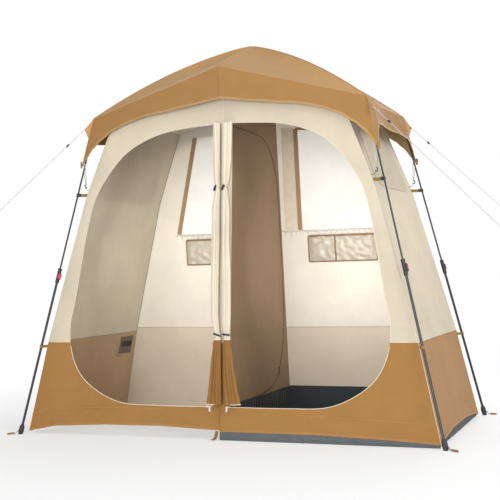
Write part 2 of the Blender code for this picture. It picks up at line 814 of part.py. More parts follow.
def make_collar(corner, plastic):
    """Collar with two bores, a flared lip and the housing of the push button."""
    high = COLLAR_LOW_END + COLLAR_LENGTH
    shoulder = COLLAR_LOW_END + COLLAR_SOCKET
    lip = COLLAR_RADIUS + COLLAR_LIP
    profile = [(ROD_RADIUS + FIT, high), (lip, high), (lip, high - 2 * COLLAR_LIP),
               (COLLAR_RADIUS, high - 4 * COLLAR_LIP), (COLLAR_RADIUS, COLLAR_LOW_END),
               (TUBE_RADIUS + FIT, COLLAR_LOW_END), (TUBE_RADIUS + FIT, shoulder),
               (ROD_RADIUS + FIT, shoulder)]
    collar = turned("leg_collar_" + corner, profile, ROUND_STEPS, leg_frame(corner), closed=True)
    lug = button_plate("lug", corner, LUG_HALF_WIDTH, LUG_HALF_LENGTH, LUG_BACK, LUG_FACE)
    pocket = button_plate("pocket", corner, BUTTON_HALF_WIDTH + FIT, BUTTON_HALF_LENGTH + FIT,
                          BUTTON_FLOOR, LUG_FACE + SLOT_OVERRUN)
    cut(unite(collar, lug), pocket)
    return finish(collar, plastic, smooth=True)


def make_button(corner, coloured):
    """Push button that stands out of its housing by about its travel."""
    low = BUTTON_FLOOR + GAP + BUTTON_TRAVEL
    button = button_plate("leg_button_" + corner, corner, BUTTON_HALF_WIDTH,
                          BUTTON_HALF_LENGTH, low, low + BUTTON_THICKNESS)
    bevel = button.modifiers.new("edge", "BEVEL")
    bevel.width = BUTTON_EDGE
    bevel.segments = 2
    bevel.limit_method = "ANGLE"
    bevel.angle_limit = math.radians(50)
    return finish(bake(button), coloured, smooth=True)


def make_foot(corner, plastic):
    """Rounded foot with a socket for the tube, cut flat at the ground, and its stake loop."""
    socket_low = FOOT_LENGTH - FOOT_SOCKET
    bore = TUBE_RADIUS + FIT
    neck = bore + TUBE_WALL
    profile = [(0.0, socket_low), (bore, socket_low), (bore, FOOT_LENGTH), (neck, FOOT_LENGTH),
               (0.9 * FOOT_RADIUS, 0.75 * FOOT_LENGTH), (FOOT_RADIUS, FOOT_LENGTH / 2),
               (FOOT_RADIUS, FOOT_LENGTH / 4), (FOOT_TIP_RADIUS, 0.0),
               (FOOT_TIP_RADIUS / 2, -FOOT_TIP_RADIUS), (0.0, -FOOT_TIP_RADIUS)]
    foot = turned("foot_" + corner, profile, ROUND_STEPS, leg_frame(corner))
    ground = FOOT_LENGTH
    place = leg_point(corner, 0.0)
    under = box("under", (place.x - ground, place.y - ground, -ground),
                (place.x + ground, place.y + ground, 0.0), Matrix.Identity(4))
    cut(foot, under)
    azimuth = corner_azimuth(corner)
    frame = Matrix.Rotation(azimuth, 4, "Z")
    lift = Matrix.Translation((0, 0, LOOP_LIFT + LOOP_THICKNESS / 2))
    near = FOOT_REACH + LOOP_START + LOOP_HALF_WIDTH
    far = FOOT_REACH + LOOP_START + LOOP_LENGTH - LOOP_HALF_WIDTH
    ring = [stadium((near, 0), (far, 0), LOOP_HALF_WIDTH, SMALL_STEPS // 2),
            stadium((near, 0), (far, 0), LOOP_HALF_WIDTH - LOOP_BAND, SMALL_STEPS // 2)]
    loop = plate("loop", ring, LOOP_THICKNESS, lift @ frame)
    neck_outline = stadium((FOOT_REACH, 0), (near - LOOP_HALF_WIDTH, 0), LOOP_NECK_HALF_WIDTH, 4)
    neck_part = plate("neck", [neck_outline], LOOP_THICKNESS, lift @ frame)
    unite(foot, neck_part, loop)
    return finish(foot, plastic, smooth=True)


# Body panels

def hem_height(share):
    """Height of a hem that arches between its two corners."""
    return HEM_HEIGHT + HEM_RISE * math.sin(math.pi * share)


def end_wall_outline(side, low, high):
    """Half of an end wall from the middle to a side edge, as width and height."""
    steps = 8
    hem = []
    for step in range(steps + 1):
        share = step / steps
        hem.append((max(GAP / 2, half_width(HEM_HEIGHT) * share), hem_height(0.5 + share / 2)))
    edge = [(half_width(height), height) for height in (low, STRAP_HEIGHT, high)]
    outline = hem + edge + [(GAP / 2, PEAK_HEIGHT)]
    return [(side * x, y) for x, y in outline]


def along_cloth(outline):
    """Turn heights into lengths up a leaning end wall."""
    return [(x, y / WALL_COS) for x, y in outline]


def door_outline(side):
    """Doorway from its top corner at the pillar round to its bottom corner."""
    points = []
    for across, up in DOOR_EDGE_SHARES:
        height = blend(DOOR_BOTTOM, DOOR_TOP, up)
        points.append((blend(PILLAR_HALF_WIDTH, half_width(height), across), height))
    return [(side * x, y) for x, y in smooth_run(points, 2)]


def make_front_panels(side_name, cloth, skirt_cloth):
    """Upper panel and skirt of one half of the front, with the doorway cut through both."""
    side = SIDES[side_name]
    outlines = [along_cloth(end_wall_outline(side, SEAM_HEIGHT, TOP_HEIGHT)),
                along_cloth(door_outline(side))]
    frame = end_wall_frame(-1)
    level = SEAM_HEIGHT / WALL_COS
    upper = plate("front_upper_" + side_name, outlines, CLOTH, frame)
    keep_side(upper, level + GAP / 2, above=True)
    skirt = plate("front_skirt_" + side_name, outlines, CLOTH, frame)
    keep_side(skirt, level - GAP / 2, above=False)
    return finish(upper, cloth), finish(skirt, skirt_cloth)


def make_back_panels(cloth, skirt_cloth):
    """Back wall and its skirt over the whole width."""
    right = end_wall_outline(1, SEAM_HEIGHT, TOP_HEIGHT)
    left = [(-x, y) for x, y in reversed(right[:-1])]
    outlines = [along_cloth(right + left[:-1])]
    frame = end_wall_frame(1)
    level = BACK_SEAM_HEIGHT / WALL_COS
    upper = plate("back_upper", outlines, CLOTH, frame)
    keep_side(upper, level + GAP / 2, above=True)
    skirt = plate("back_skirt", outlines, CLOTH, frame)
    keep_side(skirt, level - GAP / 2, above=False)
    return finish(upper, cloth), finish(skirt, skirt_cloth)


def side_row(side, heights):
    """Row of points across a side wall, one for each height."""
    count = len(heights)
    row = []
    for index, height in enumerate(heights):
        depth = inner_half_depth(height)
        row.append((side * half_width(height), blend(-depth, depth, index / (count - 1)), height))
    return row


def ring_round_leg(name, corner, height, length, rod_radius):
    """Ring of webbing or a clip round a leg, with its middle at a height."""
    middle = height / LEG_COS
    bore = rod_radius + CLIP_FIT
    return pipe(name, bore + CLIP_WALL, bore, middle - length / 2, middle + length / 2,
                ROUND_STEPS, leg_frame(corner))


def strap_to_leg(name, corner, height, length, rod_radius):
    """Flat strap from the wall's corner to a ring on the leg."""
    side, end = CORNERS[corner]
    places = []
    for level in (height - length / 3, height + length / 3):
        wall = Vector((side * (half_width(level) - CLOTH / 2),
                       end * (inner_half_depth(level) - STRAP_SET_BACK), level))
        leg = leg_point(corner, level)
        reach = (leg - wall).to_2d().length - rod_radius - CLIP_FIT - CLIP_WALL / 2
        along = (leg - wall).to_2d().normalized()
        stop = wall + Vector((*along, 0)) * reach
        square = Vector((-along.y, along.x, 0)) * (STRAP_THICKNESS / 2)
        places += [wall - square, stop - square, wall + square, stop + square]
    return block(name, places)


def make_side_panels(side_name, cloth, skirt_cloth):
    """Upper side wall with its strap clips, and the skirt with its webbing tabs."""
    side = SIDES[side_name]
    flip = side < 0
    rows = [side_row(side, [height] * 3)
            for height in (SEAM_HEIGHT + GAP / 2, STRAP_HEIGHT, TOP_HEIGHT)]
    upper = thicken(skin("side_upper_" + side_name, rows, flip=flip), CLOTH)
    steps = 8
    hem = [hem_height(step / steps) for step in range(steps + 1)]
    rows = [side_row(side, hem), side_row(side, [SEAM_HEIGHT - GAP / 2] * (steps + 1))]
    skirt = thicken(skin("side_skirt_" + side_name, rows, flip=flip), CLOTH)
    for corner, (corner_side, _) in CORNERS.items():
        if corner_side != side:
            continue
        unite(upper, strap_to_leg("strap", corner, CLIP_HEIGHT, CLIP_LENGTH, ROD_RADIUS))
        unite(upper, ring_round_leg("clip", corner, CLIP_HEIGHT, CLIP_LENGTH, ROD_RADIUS))
        unite(skirt, strap_to_leg("tab", corner, LOW_TAB_HEIGHT, LOW_TAB_LENGTH, TUBE_RADIUS))
        unite(skirt, ring_round_leg("ring", corner, LOW_TAB_HEIGHT, LOW_TAB_LENGTH, TUBE_RADIUS))
    if side < 0:
        cut(skirt, hose_port_cutter())
    return finish(upper, cloth), finish(skirt, skirt_cloth)


def hose_port_cutter():
    """Slot with round ends through the left skirt."""
    reach = PORT_HALF_LENGTH - PORT_HALF_HEIGHT
    outline = stadium((PORT_CENTRE_DEPTH - reach, PORT_CENTRE_HEIGHT),
                      (PORT_CENTRE_DEPTH + reach, PORT_CENTRE_HEIGHT), PORT_HALF_HEIGHT,
                      SMALL_STEPS // 2)
    middle = Vector((-half_width(PORT_CENTRE_HEIGHT), 0, 0))
    frame = frame_of(Vector((0, 1, 0)), Vector((0, 0, 1)), middle)
    return plate("port", [outline], 2 * PORT_HALF_LENGTH, frame)


def ceiling_edge(side, end):
    """Corner, or middle where a sign is 0, of the ceiling's rim just inside the walls."""
    height = PEAK_HEIGHT if side == 0 else TOP_HEIGHT
    width = half_width(TOP_HEIGHT) - CLOTH - 2 * GAP
    return Vector((side * width, end * (inner_half_depth(height) - GAP), height))


def make_ceiling(mesh_cloth):
    """Eight-sided roof of the body, with its rim inside the tops of the walls."""
    around = ((0, -1), (1, -1), (1, 0), (1, 1), (0, 1), (-1, 1), (-1, 0), (-1, -1))
    rim = [ceiling_edge(side, end) for side, end in around]
    top = Vector((0, 0, CEILING_HEIGHT))
    middle = [top.lerp(place, 0.5) for place in rim]
    ceiling = skin("ceiling", [middle, rim], closed=True, flip=True, tip=top)
    return finish(thicken(ceiling, CLOTH), mesh_cloth)


def partition_frame():
    return frame_of(Vector((0, 1, 0)), Vector((0, 0, 1)), Vector((0, 0, 0)))


def inner_door_outline():
    """Door of the partition from its top corner at the sewn edge round to its bottom corner."""
    points = []
    for along, up in INNER_DOOR_SHARES:
        height = blend(INNER_DOOR_BOTTOM, INNER_DOOR_TOP, up)
        points.append((blend(INNER_DOOR_HINGE, half_depth(height), along), height))
    return smooth_run(points, 2)


def make_partition(cloth):
    """Wall between the rooms, with the inner door's opening."""
    drop = CLOTH * math.hypot(1.0, (CEILING_HEIGHT - PEAK_HEIGHT) / TOP_HALF_DEPTH) + 3 * GAP
    low = inner_half_depth(PARTITION_HEM)
    high = ceiling_edge(0, 1)
    outline = [(-low, PARTITION_HEM), (low, PARTITION_HEM), (high.y, high.z - drop),
               (0.0, CEILING_HEIGHT - drop), (-high.y, high.z - drop)]
    part = plate("partition", [outline, inner_door_outline()], CLOTH, partition_frame())
    return finish(part, cloth)


def make_inner_door(cloth):
    """Door panel of the partition, which swings on its straight edge."""
    outline = inset(inner_door_outline(), INNER_DOOR_ZIP_GAP)
    door = plate("partition_door", [outline], CLOTH, partition_frame())
    middle = (INNER_DOOR_TOP + INNER_DOOR_BOTTOM) / 2
    sewn_edge = (CLOTH / 2, INNER_DOOR_HINGE + INNER_DOOR_ZIP_GAP / 2, middle)
    carry(pivot("partition_hinge", sewn_edge), door)
    return finish(door, cloth)


def bundle_ring(height, inner, outer):
    """Fluted section of a gathered door in front of the pillar."""
    middle = (inner + outer) / 2
    half_across = (outer - inner) / 2 / (1 + BUNDLE_FLUTE_SHARE)
    half_through = max(BUNDLE_LEAST_DEPTH / 2, min(half_across, PILLAR_HALF_WIDTH / 2))
    half_through *= BUNDLE_DEPTH_SHARE
    count = BUNDLE_FLUTES * BUNDLE_POINTS_PER_FLUTE
    ring = []
    for index in range(count):
        angle = math.tau * index / count
        swell = 1 + BUNDLE_FLUTE_SHARE * math.cos(BUNDLE_FLUTES * angle + math.pi / 4)
        ring.append((middle + half_across * swell * math.cos(angle),
                     half_through * swell * math.sin(angle), height))
    stand_off = half_depth(height) + max(place[1] for place in ring) + GAP
    return [(across, along - stand_off, up) for across, along, up in ring]


def make_bundle(name, shares, cloth):
    """Door cloth gathered to the pillar, drawn in at two ties and flared below the lower one."""
    rings = []
    for up, inner, outer in smooth_run(shares, 2):
        rings.append(bundle_ring(blend(DOOR_BOTTOM, DOOR_TOP, up), inner * PILLAR_HALF_WIDTH,
                                 outer * PILLAR_HALF_WIDTH))
    return finish(skin(name, rings, closed=True, caps=True), cloth, smooth=True)


def make_pocket(name, mesh_cloth):
    """Pocket on the inside of the back wall, open at its top and backed by the wall."""
    left, right, dividers = POCKETS[name]
    frame = end_wall_frame(1)
    low = POCKET_BOTTOM / WALL_COS
    high = POCKET_TOP / WALL_COS
    back = CLOTH / 2 + GAP
    front = back + POCKET_DEPTH
    pocket = box(name, (left, low, back), (right, high, front), frame)
    edges = [left, *(blend(left, right, share) for share in dividers), right]
    for start, end in zip(edges, edges[1:]):
        cut(pocket, box("inside", (start + CLOTH, low + CLOTH, back - POCKET_DEPTH),
                        (end - CLOTH / 2, high + POCKET_DEPTH, front - CLOTH), frame))
    return finish(pocket, mesh_cloth)


def make_floor_tray(sheet):
    """Floor of the right room with its rim turned up inside the walls."""
    def corners(low, high, wall):
        places = []
        for height in (low, high):
            wide = half_width(max(height, 0.0)) - CLOTH - 2 * GAP - wall
            deep = inner_half_depth(max(height, 0.0)) - wall
            near = CLOTH / 2 + GAP + wall
            places += [(near, -deep, height), (wide, -deep, height),
                       (near, deep, height), (wide, deep, height)]
        return places

    tray = block("floor_tray", corners(0.0, TRAY_RIM, 0.0))
    cut(tray, block("inside", corners(TRAY_THICKNESS, TRAY_RIM + TRAY_THICKNESS,
                                      TRAY_THICKNESS)))
    return finish(tray, sheet)


# Fly

def ear_line(height):
    """Fold of a fly's corner in the front right quarter, just outside the leg."""
    leg = leg_point("front_right", height)
    return Vector((leg.x + EAR_OUT, leg.y - EAR_FORWARD, height))


def fly_columns():
    """Columns of one quarter as eave place, hem place and bow, from the front to the side."""
    peak = Vector((0, -FLY_PEAK_DEPTH, FLY_PEAK_HEIGHT))
    corner = ear_line(FLY_CORNER_HEIGHT)
    tip = ear_line(EAR_TIP_HEIGHT)
    ear_drop = FLY_CORNER_HEIGHT - EAR_TIP_HEIGHT
    columns = []
    for across, drop in FRONT_HEM_SHARES:
        eave = peak.lerp(corner, across)
        hem = Vector((eave.x + (tip.x - corner.x) * across ** HEM_CURVE,
                      blend(peak.y, tip.y, across), eave.z - ear_drop * drop))
        bow = blend(EAVE_BOW, RIDGE_BOW, across) - ROOF_SAG * math.sin(math.pi * across)
        columns.append((eave, hem, bow))
    for along, drop in SIDE_HEM_SHARES:
        eave = Vector((blend(FLY_SIDE_HALF_WIDTH, corner.x, along), corner.y * along,
                       FLY_CORNER_HEIGHT))
        hem = Vector((blend(FLY_SIDE_HEM_HALF_WIDTH, tip.x, along ** 2), tip.y * along,
                      eave.z - ear_drop * drop))
        bow = blend(SIDE_BOW, RIDGE_BOW, along ** 3)
        columns.append((eave, hem, bow))
    return columns


def fly_column_points(eave, hem, bow):
    """Places down one column, from the first row below the apex to the hem."""
    apex = Vector((0, 0, FLY_APEX))
    points = []
    for step in range(1, ROOF_STEPS + 1):
        share = step / ROOF_STEPS
        lift = bow * 4 * share * (1 - share)
        points.append(apex.lerp(eave, share) + Vector((0, 0, lift)))
    for step in range(1, VALANCE_STEPS + 1):
        points.append(eave.lerp(hem, step / VALANCE_STEPS))
    return points


def make_fly(cloth):
    """Rain roof with four ridges, a valance, an ear round each leg and four guy tabs."""
    quarter = [fly_column_points(*column) for column in fly_columns()]

    def placed(columns, side, end):
        return [[(side * p.x, -end * p.y, p.z) for p in column] for column in columns]

    around = placed(quarter, 1, -1)
    around += placed(quarter[::-1], 1, 1)[1:]
    around += placed(quarter, -1, 1)[1:]
    around += placed(quarter[::-1], -1, -1)[1:-1]
    rows = [list(row) for row in zip(*around)]
    fly = skin("fly", rows, closed=True, flip=True, tip=(0, 0, FLY_APEX))
    thicken(fly, CLOTH)
    for corner in CORNERS:
        unite(fly, guy_tab(corner))
    return finish(fly, cloth)


def guy_tab(corner):
    """Thin triangle of webbing from an ear's fold to the eye of a guy line."""
    side, end = CORNERS[corner]
    top = ear_line(FLY_CORNER_HEIGHT - TAB_THICKNESS)
    low = ear_line(TAB_LOW_HEIGHT)
    tip = Vector((TAB_TIP.x, -TAB_TIP.y, TAB_TIP.z))
    outward = Vector((tip.x - low.x, tip.y - low.y, 0)).normalized()
    square = Vector((-outward.y, outward.x, 0)) * (TAB_THICKNESS / 2)
    inner = -outward * (CLOTH / 2)
    drop = Vector((0, 0, TAB_TIP_HEIGHT / 2))
    places = [low + inner - square, tip - drop - square, low + inner + square,
              tip - drop + square, top + inner - square, tip + drop - square,
              top + inner + square, tip + drop + square]
    return block("tab", [(side * p.x, -end * p.y, p.z) for p in places])


# Guy lines

def guy_frame(corner):
    """Frame at a tab's tip with Z along its guy line."""
    side, end = CORNERS[corner]
    start = Vector((side * TAB_TIP.x, end * TAB_TIP.y, TAB_TIP.z))
    along = Vector((side * GUY_OUT, end * GUY_FORWARD, -TAB_TIP.z))
    return axis_frame(start, along, Vector((0, 0, 1)))


def make_guy_line(corner, cord):
    """Taut line from the tab to its end loop."""
    length = GUY_LENGTHS[corner]
    points = [(0.0, 0.0, blend(GUY_START, length, step / (GUY_POINTS - 1)))
              for step in range(GUY_POINTS)]
    line = tube("guy_line_" + corner, points, GUY_RADIUS, 2, guy_frame(corner))
    return finish(line, cord, smooth=True)


def make_adjuster(corner, plastic):
    """Small sliding adjuster that the line runs through."""
    frame = guy_frame(corner) @ Matrix.Translation((0, 0, ADJUSTER_PLACE))
    bore = GUY_RADIUS + FIT
    half = ADJUSTER_LENGTH / 2
    edge = ADJUSTER_RADIUS - bore
    profile = [(bore, half), (bore + edge / 2, half), (ADJUSTER_RADIUS, half - edge),
               (ADJUSTER_RADIUS, edge - half), (bore + edge / 2, -half), (bore, -half)]
    adjuster = turned("guy_adjuster_" + corner, profile, SMALL_STEPS, frame, closed=True)
    carry(pivot("guy_slide_" + corner, frame.translation), adjuster)
    return finish(adjuster, plastic, smooth=True)


def make_end_loop(corner, cord):
    """Knot and loop at the far end of a guy line."""
    start = GUY_LENGTHS[corner] + GAP + END_KNOT_RADIUS
    frame = guy_frame(corner) @ Matrix.Translation((0, 0, start))
    radius = END_KNOT_RADIUS
    half = SMALL_STEPS // 2
    profile = [(radius * math.sin(math.pi * step / half), radius * math.cos(math.pi * step / half))
               for step in range(half + 1)]
    profile[0] = (0.0, radius)
    profile[-1] = (0.0, -radius)
    knot = turned("guy_loop_" + corner, profile, SMALL_STEPS, frame)
    count = 2 * SMALL_STEPS
    reach = END_LOOP_RADIUS
    centre = Vector((0, 0, reach))
    work_points = [(reach * math.sin(math.tau * step / count), 0.0,
                    centre.z - reach * math.cos(math.tau * step / count))
                   for step in range(count)]
    curve = bpy.data.curves.new("loop", "CURVE")
    curve.dimensions = "3D"
    curve.bevel_depth = GUY_RADIUS
    curve.bevel_resolution = 2
    add_poly_spline(curve, work_points, True)
    loop = from_curve("loop", curve, frame)
    return finish(unite(knot, loop), cord, smooth=True)


def make_corner_frame(corner, materials):
    """Arm, elbow and telescopic leg of one corner, each on the pivot that carries it."""
    arm = make_roof_arm(corner, materials["metal"])
    elbow = make_elbow(corner, materials["plastic"])
    rod = make_upper_rod(corner, materials["metal"])
    lower = make_lower_tube(corner, materials["metal"])
    collar = make_collar(corner, materials["plastic"])
    foot = make_foot(corner, materials["plastic"])
    button = make_button(corner, materials["button"])
    plane = radial_frame(corner_azimuth(corner))
    arm_pivot = pivot("arm_pivot_" + corner, plane @ Vector((*HUB_PIVOT, 0)))
    leg_pivot = pivot("leg_pivot_" + corner, plane @ Vector((*ELBOW_PIN, 0)))
    slide = pivot("leg_slide_" + corner, leg_frame(corner) @ Vector((0, 0, COLLAR_LOW_END)))
    press = pivot("button_press_" + corner, button_frame(corner).translation)
    carry(arm_pivot, arm, elbow, leg_pivot)
    carry(leg_pivot, rod, slide)
    carry(slide, lower, collar, foot, press)
    carry(press, button)


def build():
    materials = {
        "fly": new_material("fly_cloth", (0.47, 0.27, 0.10), 0.75, 0.0),
        "walls": new_material("wall_cloth", (0.72, 0.64, 0.50), 0.8, 0.0),
        "skirt": new_material("skirt_cloth", (0.40, 0.23, 0.09), 0.75, 0.0),
        "inside": new_material("partition_cloth", (0.29, 0.17, 0.08), 0.8, 0.0),
        "mesh": new_material("mesh_cloth", (0.46, 0.39, 0.31), 0.85, 0.0),
        "sheet": new_material("floor_sheet", (0.03, 0.035, 0.04), 0.6, 0.0),
        "metal": new_material("dark_metal", (0.045, 0.045, 0.05), 0.4, 0.6),
        "plastic": new_material("dark_plastic", (0.035, 0.035, 0.04), 0.5, 0.0),
        "button": new_material("button_plastic", (0.55, 0.04, 0.12), 0.4, 0.0),
        "cord": new_material("guy_cord", (0.60, 0.60, 0.58), 0.7, 0.0),
    }
    make_hub(materials["plastic"])
    make_hub_cap(materials["plastic"])
    for corner in CORNERS:
        make_corner_frame(corner, materials)
    for end, side in ENDS.items():
        arm = make_eave_arm(end, materials["metal"])
        place = radial_frame(side * math.pi / 2) @ Vector((*HUB_PIVOT, 0))
        carry(pivot("arm_pivot_" + end, place), arm)
    for side_name in SIDES:
        make_front_panels(side_name, materials["walls"], materials["skirt"])
        make_side_panels(side_name, materials["walls"], materials["skirt"])
    make_back_panels(materials["walls"], materials["skirt"])
    make_ceiling(materials["mesh"])
    make_partition(materials["inside"])
    make_inner_door(materials["inside"])
    make_bundle("door_bundle_left", LEFT_BUNDLE_SHARES, materials["skirt"])
    make_bundle("door_bundle_right", RIGHT_BUNDLE_SHARES, materials["skirt"])
    for name in POCKETS:
        make_pocket(name, materials["mesh"])
    make_floor_tray(materials["sheet"])
    make_fly(materials["fly"])
    for corner in GUY_LENGTHS:
        make_guy_line(corner, materials["cord"])
        make_adjuster(corner, materials["plastic"])
        make_end_loop(corner, materials["cord"])


clear_scene()
PARTS = new_collection("shower_tent")
build()
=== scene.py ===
import math

import bmesh
import bpy
from bpy.props import FloatProperty, FloatVectorProperty, PointerProperty
from mathutils import Matrix, Vector, noise


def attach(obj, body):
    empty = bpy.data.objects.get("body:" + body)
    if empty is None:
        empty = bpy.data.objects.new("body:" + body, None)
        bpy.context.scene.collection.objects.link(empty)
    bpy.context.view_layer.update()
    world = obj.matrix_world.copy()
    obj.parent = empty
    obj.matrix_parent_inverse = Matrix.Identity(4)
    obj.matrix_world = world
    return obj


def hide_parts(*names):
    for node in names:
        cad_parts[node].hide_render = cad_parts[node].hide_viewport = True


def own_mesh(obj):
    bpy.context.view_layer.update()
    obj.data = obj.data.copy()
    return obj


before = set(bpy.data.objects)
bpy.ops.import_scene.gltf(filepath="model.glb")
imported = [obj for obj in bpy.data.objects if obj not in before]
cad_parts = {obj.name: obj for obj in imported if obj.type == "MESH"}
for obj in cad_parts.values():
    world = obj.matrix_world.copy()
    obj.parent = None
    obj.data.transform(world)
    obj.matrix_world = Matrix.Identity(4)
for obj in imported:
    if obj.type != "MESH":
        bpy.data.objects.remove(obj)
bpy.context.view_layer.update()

bl_info = {
    "name": "Shower tent",
    "version": (1, 0, 0),
    "blender": (4, 5, 0),
    "location": "View3D > Sidebar > Tent",
    "description": "Cloth, trim and finishes of a two-room shower tent on its folding frame",
    "category": "Object",
}

# Walls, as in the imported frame
WALL_PROFILE = ((0.0, 1.080), (0.470, 0.977), (1.232, 0.768), (1.640, 0.610))
BASE_HALF_DEPTH = 0.543
TOP_HALF_DEPTH = 0.399
TOP_HEIGHT = 1.640
PEAK_HEIGHT = 1.800
CEILING_HEIGHT = 1.945
SEAM_HEIGHT = 0.470
BACK_SEAM_HEIGHT = 0.490
TUCK_HEIGHT = 0.085
TUCK_WIDTH = 0.006
STRAP_HEIGHT = 1.238
LOW_TAB_HEIGHT = 0.452
WALL_LEAN = (BASE_HALF_DEPTH - TOP_HALF_DEPTH) / TOP_HEIGHT

# Doorways
PILLAR_HALF_WIDTH = 0.052
DOOR_TOP = 1.560
DOOR_BOTTOM = 0.160
DOOR_FOOT_HEIGHT = 0.485
DOOR_EDGE_SHARES = (
    (0.0, 1.0), (0.383, 0.988), (0.634, 0.957), (0.808, 0.897), (0.914, 0.774), (0.925, 0.643),
    (0.893, 0.400), (0.880, 0.270), (0.812, 0.153), (0.700, 0.070), (0.513, 0.009), (0.290, 0.0),
    (0.0, 0.0),
)

# Partition
INNER_DOOR_TOP = 1.562
INNER_DOOR_BOTTOM = 0.153
INNER_DOOR_HINGE = -0.330
INNER_DOOR_APEX = Vector((0, INNER_DOOR_HINGE, 1.48))
PARTITION_SEAM_HEIGHT = 0.494
INNER_DOOR_SHARES = (
    (0.0, 1.0), (0.49, 1.0), (0.67, 0.989), (0.79, 0.958), (0.905, 0.885), (0.945, 0.790),
    (0.955, 0.640), (0.955, 0.400), (0.925, 0.240), (0.850, 0.125), (0.730, 0.041),
    (0.560, 0.009), (0.300, 0.0), (0.0, 0.0),
)

# Gathered doors: inner and outer edge as shares of the pillar's half width, by height share
LEFT_BUNDLE_SHARES = (
    (1.0, -0.85, -0.12), (0.87, -0.81, -0.10), (0.80, -0.72, -0.10), (0.768, -0.56, -0.10),
    (0.735, -0.72, -0.10), (0.69, -0.88, -0.08), (0.58, -0.85, -0.05), (0.44, -0.90, -0.12),
    (0.31, -0.84, -0.10), (0.270, -0.60, 0.0), (0.248, -0.44, 0.08), (0.228, -0.56, 0.20),
    (0.146, -0.79, 0.30), (0.07, -0.98, 0.34), (0.014, -1.15, 0.38),
)
RIGHT_BUNDLE_SHARES = (
    (1.0, 0.12, 1.10), (0.87, 0.12, 1.04), (0.80, 0.13, 0.86), (0.768, 0.15, 0.56),
    (0.735, 0.14, 0.78), (0.69, 0.15, 0.92), (0.58, 0.19, 0.94), (0.44, 0.23, 1.12),
    (0.31, 0.27, 1.15), (0.270, 0.38, 1.08), (0.248, 0.48, 1.02), (0.228, 0.44, 1.17),
    (0.146, 0.50, 1.54), (0.07, 0.54, 1.90), (0.014, 0.58, 2.25),
)

# Legs
FOOT_HALF_WIDTH = 1.106
FOOT_HALF_DEPTH = 0.582
LEG_TILT = math.radians(14.5)
FOOT_REACH = math.hypot(FOOT_HALF_WIDTH, FOOT_HALF_DEPTH)

# Fly
FLY_APEX = 2.0295
FLY_PEAK = Vector((0.0, -0.449, 1.842))
FLY_CORNER_HEIGHT = 1.640
FLY_SIDE_HALF_WIDTH = 0.712
FLY_SIDE_HEM_HALF_WIDTH = 0.750
EAR_TIP_HEIGHT = 1.387
EAR_OUT = 0.010
EAR_FORWARD = 0.013
HEM_CURVE = 16
RIDGE_BOW = 0.045
EAVE_BOW = 0.012
ROOF_SAG = 0.030
SIDE_BOW = 0.004
FRONT_HEM_SHARES = (
    (0.0, 0.644), (0.136, 0.595), (0.38, 0.50), (0.57, 0.415), (0.724, 0.414), (0.826, 0.455),
    (0.909, 0.57), (0.96, 0.72), (1.0, 1.0),
)
SIDE_HEM_SHARES = ((0.0, 0.466), (0.4, 0.46), (0.75, 0.50), (0.88, 0.70), (1.0, 1.0))
TAB_TIP = Vector((0.777, 0.429, 1.582))
TAB_TOP_HEIGHT = 1.638
TAB_LOW_HEIGHT = 1.535

# Guy lines
GUY_OUT = 1.595
GUY_FORWARD = 0.636
GUY_START = 0.0029
GUY_LENGTHS = {"front_left": 0.660, "front_right": 0.930, "rear_right": 0.690}
GUY_RADIUS = 0.0015
KNOT_RADIUS = 0.0040
KNOT_GAP = 0.0004
LOOP_RADIUS = 0.0160

CORNERS = {
    "front_left": (-1, -1),
    "front_right": (1, -1),
    "rear_left": (-1, 1),
    "rear_right": (1, 1),
}
WELD = 1e-5
SEAM_LIFT = 0.0006
PARALLEL = 1e-12
EDGE_SLACK = 1e-6
SHARP_ANGLE = math.radians(50)
SPOKE_ANGLE = math.radians(4)
BODY_CENTRE = Vector((0, 0, 0.9))
VALANCE_CENTRE = Vector((0, 0, 1.2))
LEFT_OF_BODY = Vector((-5, 0, 0.9))
UP = Vector((0, 0, 1))


def blend(low, high, share):
    return low + (high - low) * share


def upwards(height):
    return Vector((0, 0, height))


def half_width(height):
    """Half width of the body at a height."""
    for (low, wide), (high, narrow) in zip(WALL_PROFILE, WALL_PROFILE[1:]):
        if height <= high:
            break
    return wide + (narrow - wide) * (height - low) / (high - low)


def half_depth(height):
    """Half depth of the body at a height."""
    return BASE_HALF_DEPTH - WALL_LEAN * height


def leg_azimuth(corner):
    side, end = CORNERS[corner]
    return math.atan2(end * FOOT_HALF_DEPTH, side * FOOT_HALF_WIDTH)


def leg_point(corner, height):
    """Point of a leg's axis at a height."""
    azimuth = leg_azimuth(corner)
    reach = FOOT_REACH - math.tan(LEG_TILT) * height
    return Vector((math.cos(azimuth) * reach, math.sin(azimuth) * reach, height))


def leg_direction(corner):
    """Unit vector up a leg."""
    return (leg_point(corner, 1.0) - leg_point(corner, 0.0)).normalized()


def look(shares, share):
    """Value of a table of rows at a share, rows rising by their first number."""
    rows = sorted(shares)
    for before, after in zip(rows, rows[1:]):
        if share <= after[0]:
            break
    part = min(1.0, max(0.0, (share - before[0]) / (after[0] - before[0])))
    part = part * part * (3 - 2 * part) * 0.5 + part * 0.5
    return [blend(low, high, part) for low, high in zip(before[1:], after[1:])]


def smooth_run(points, steps):
    """Smooth curve through points that keeps its two ends."""
    padded = [points[0], *points, points[-1]]
    run = []
    for before, start, end, after in zip(padded, padded[1:], padded[2:], padded[3:]):
        for step in range(steps):
            t = step / steps
            weights = (-0.5 * t + t * t - 0.5 * t ** 3,
                       1 - 2.5 * t * t + 1.5 * t ** 3,
                       0.5 * t + 2 * t * t - 1.5 * t ** 3,
                       -0.5 * t * t + 0.5 * t ** 3)
            run.append(tuple(sum(weight * place[axis] for weight, place
                                 in zip(weights, (before, start, end, after)))
                             for axis in range(len(start))))
    run.append(tuple(points[-1]))
    return run


def ahead_at(path, index):
    """Way along a path at one of its places."""
    return path[min(index + 1, len(path) - 1)] - path[max(index - 1, 0)]


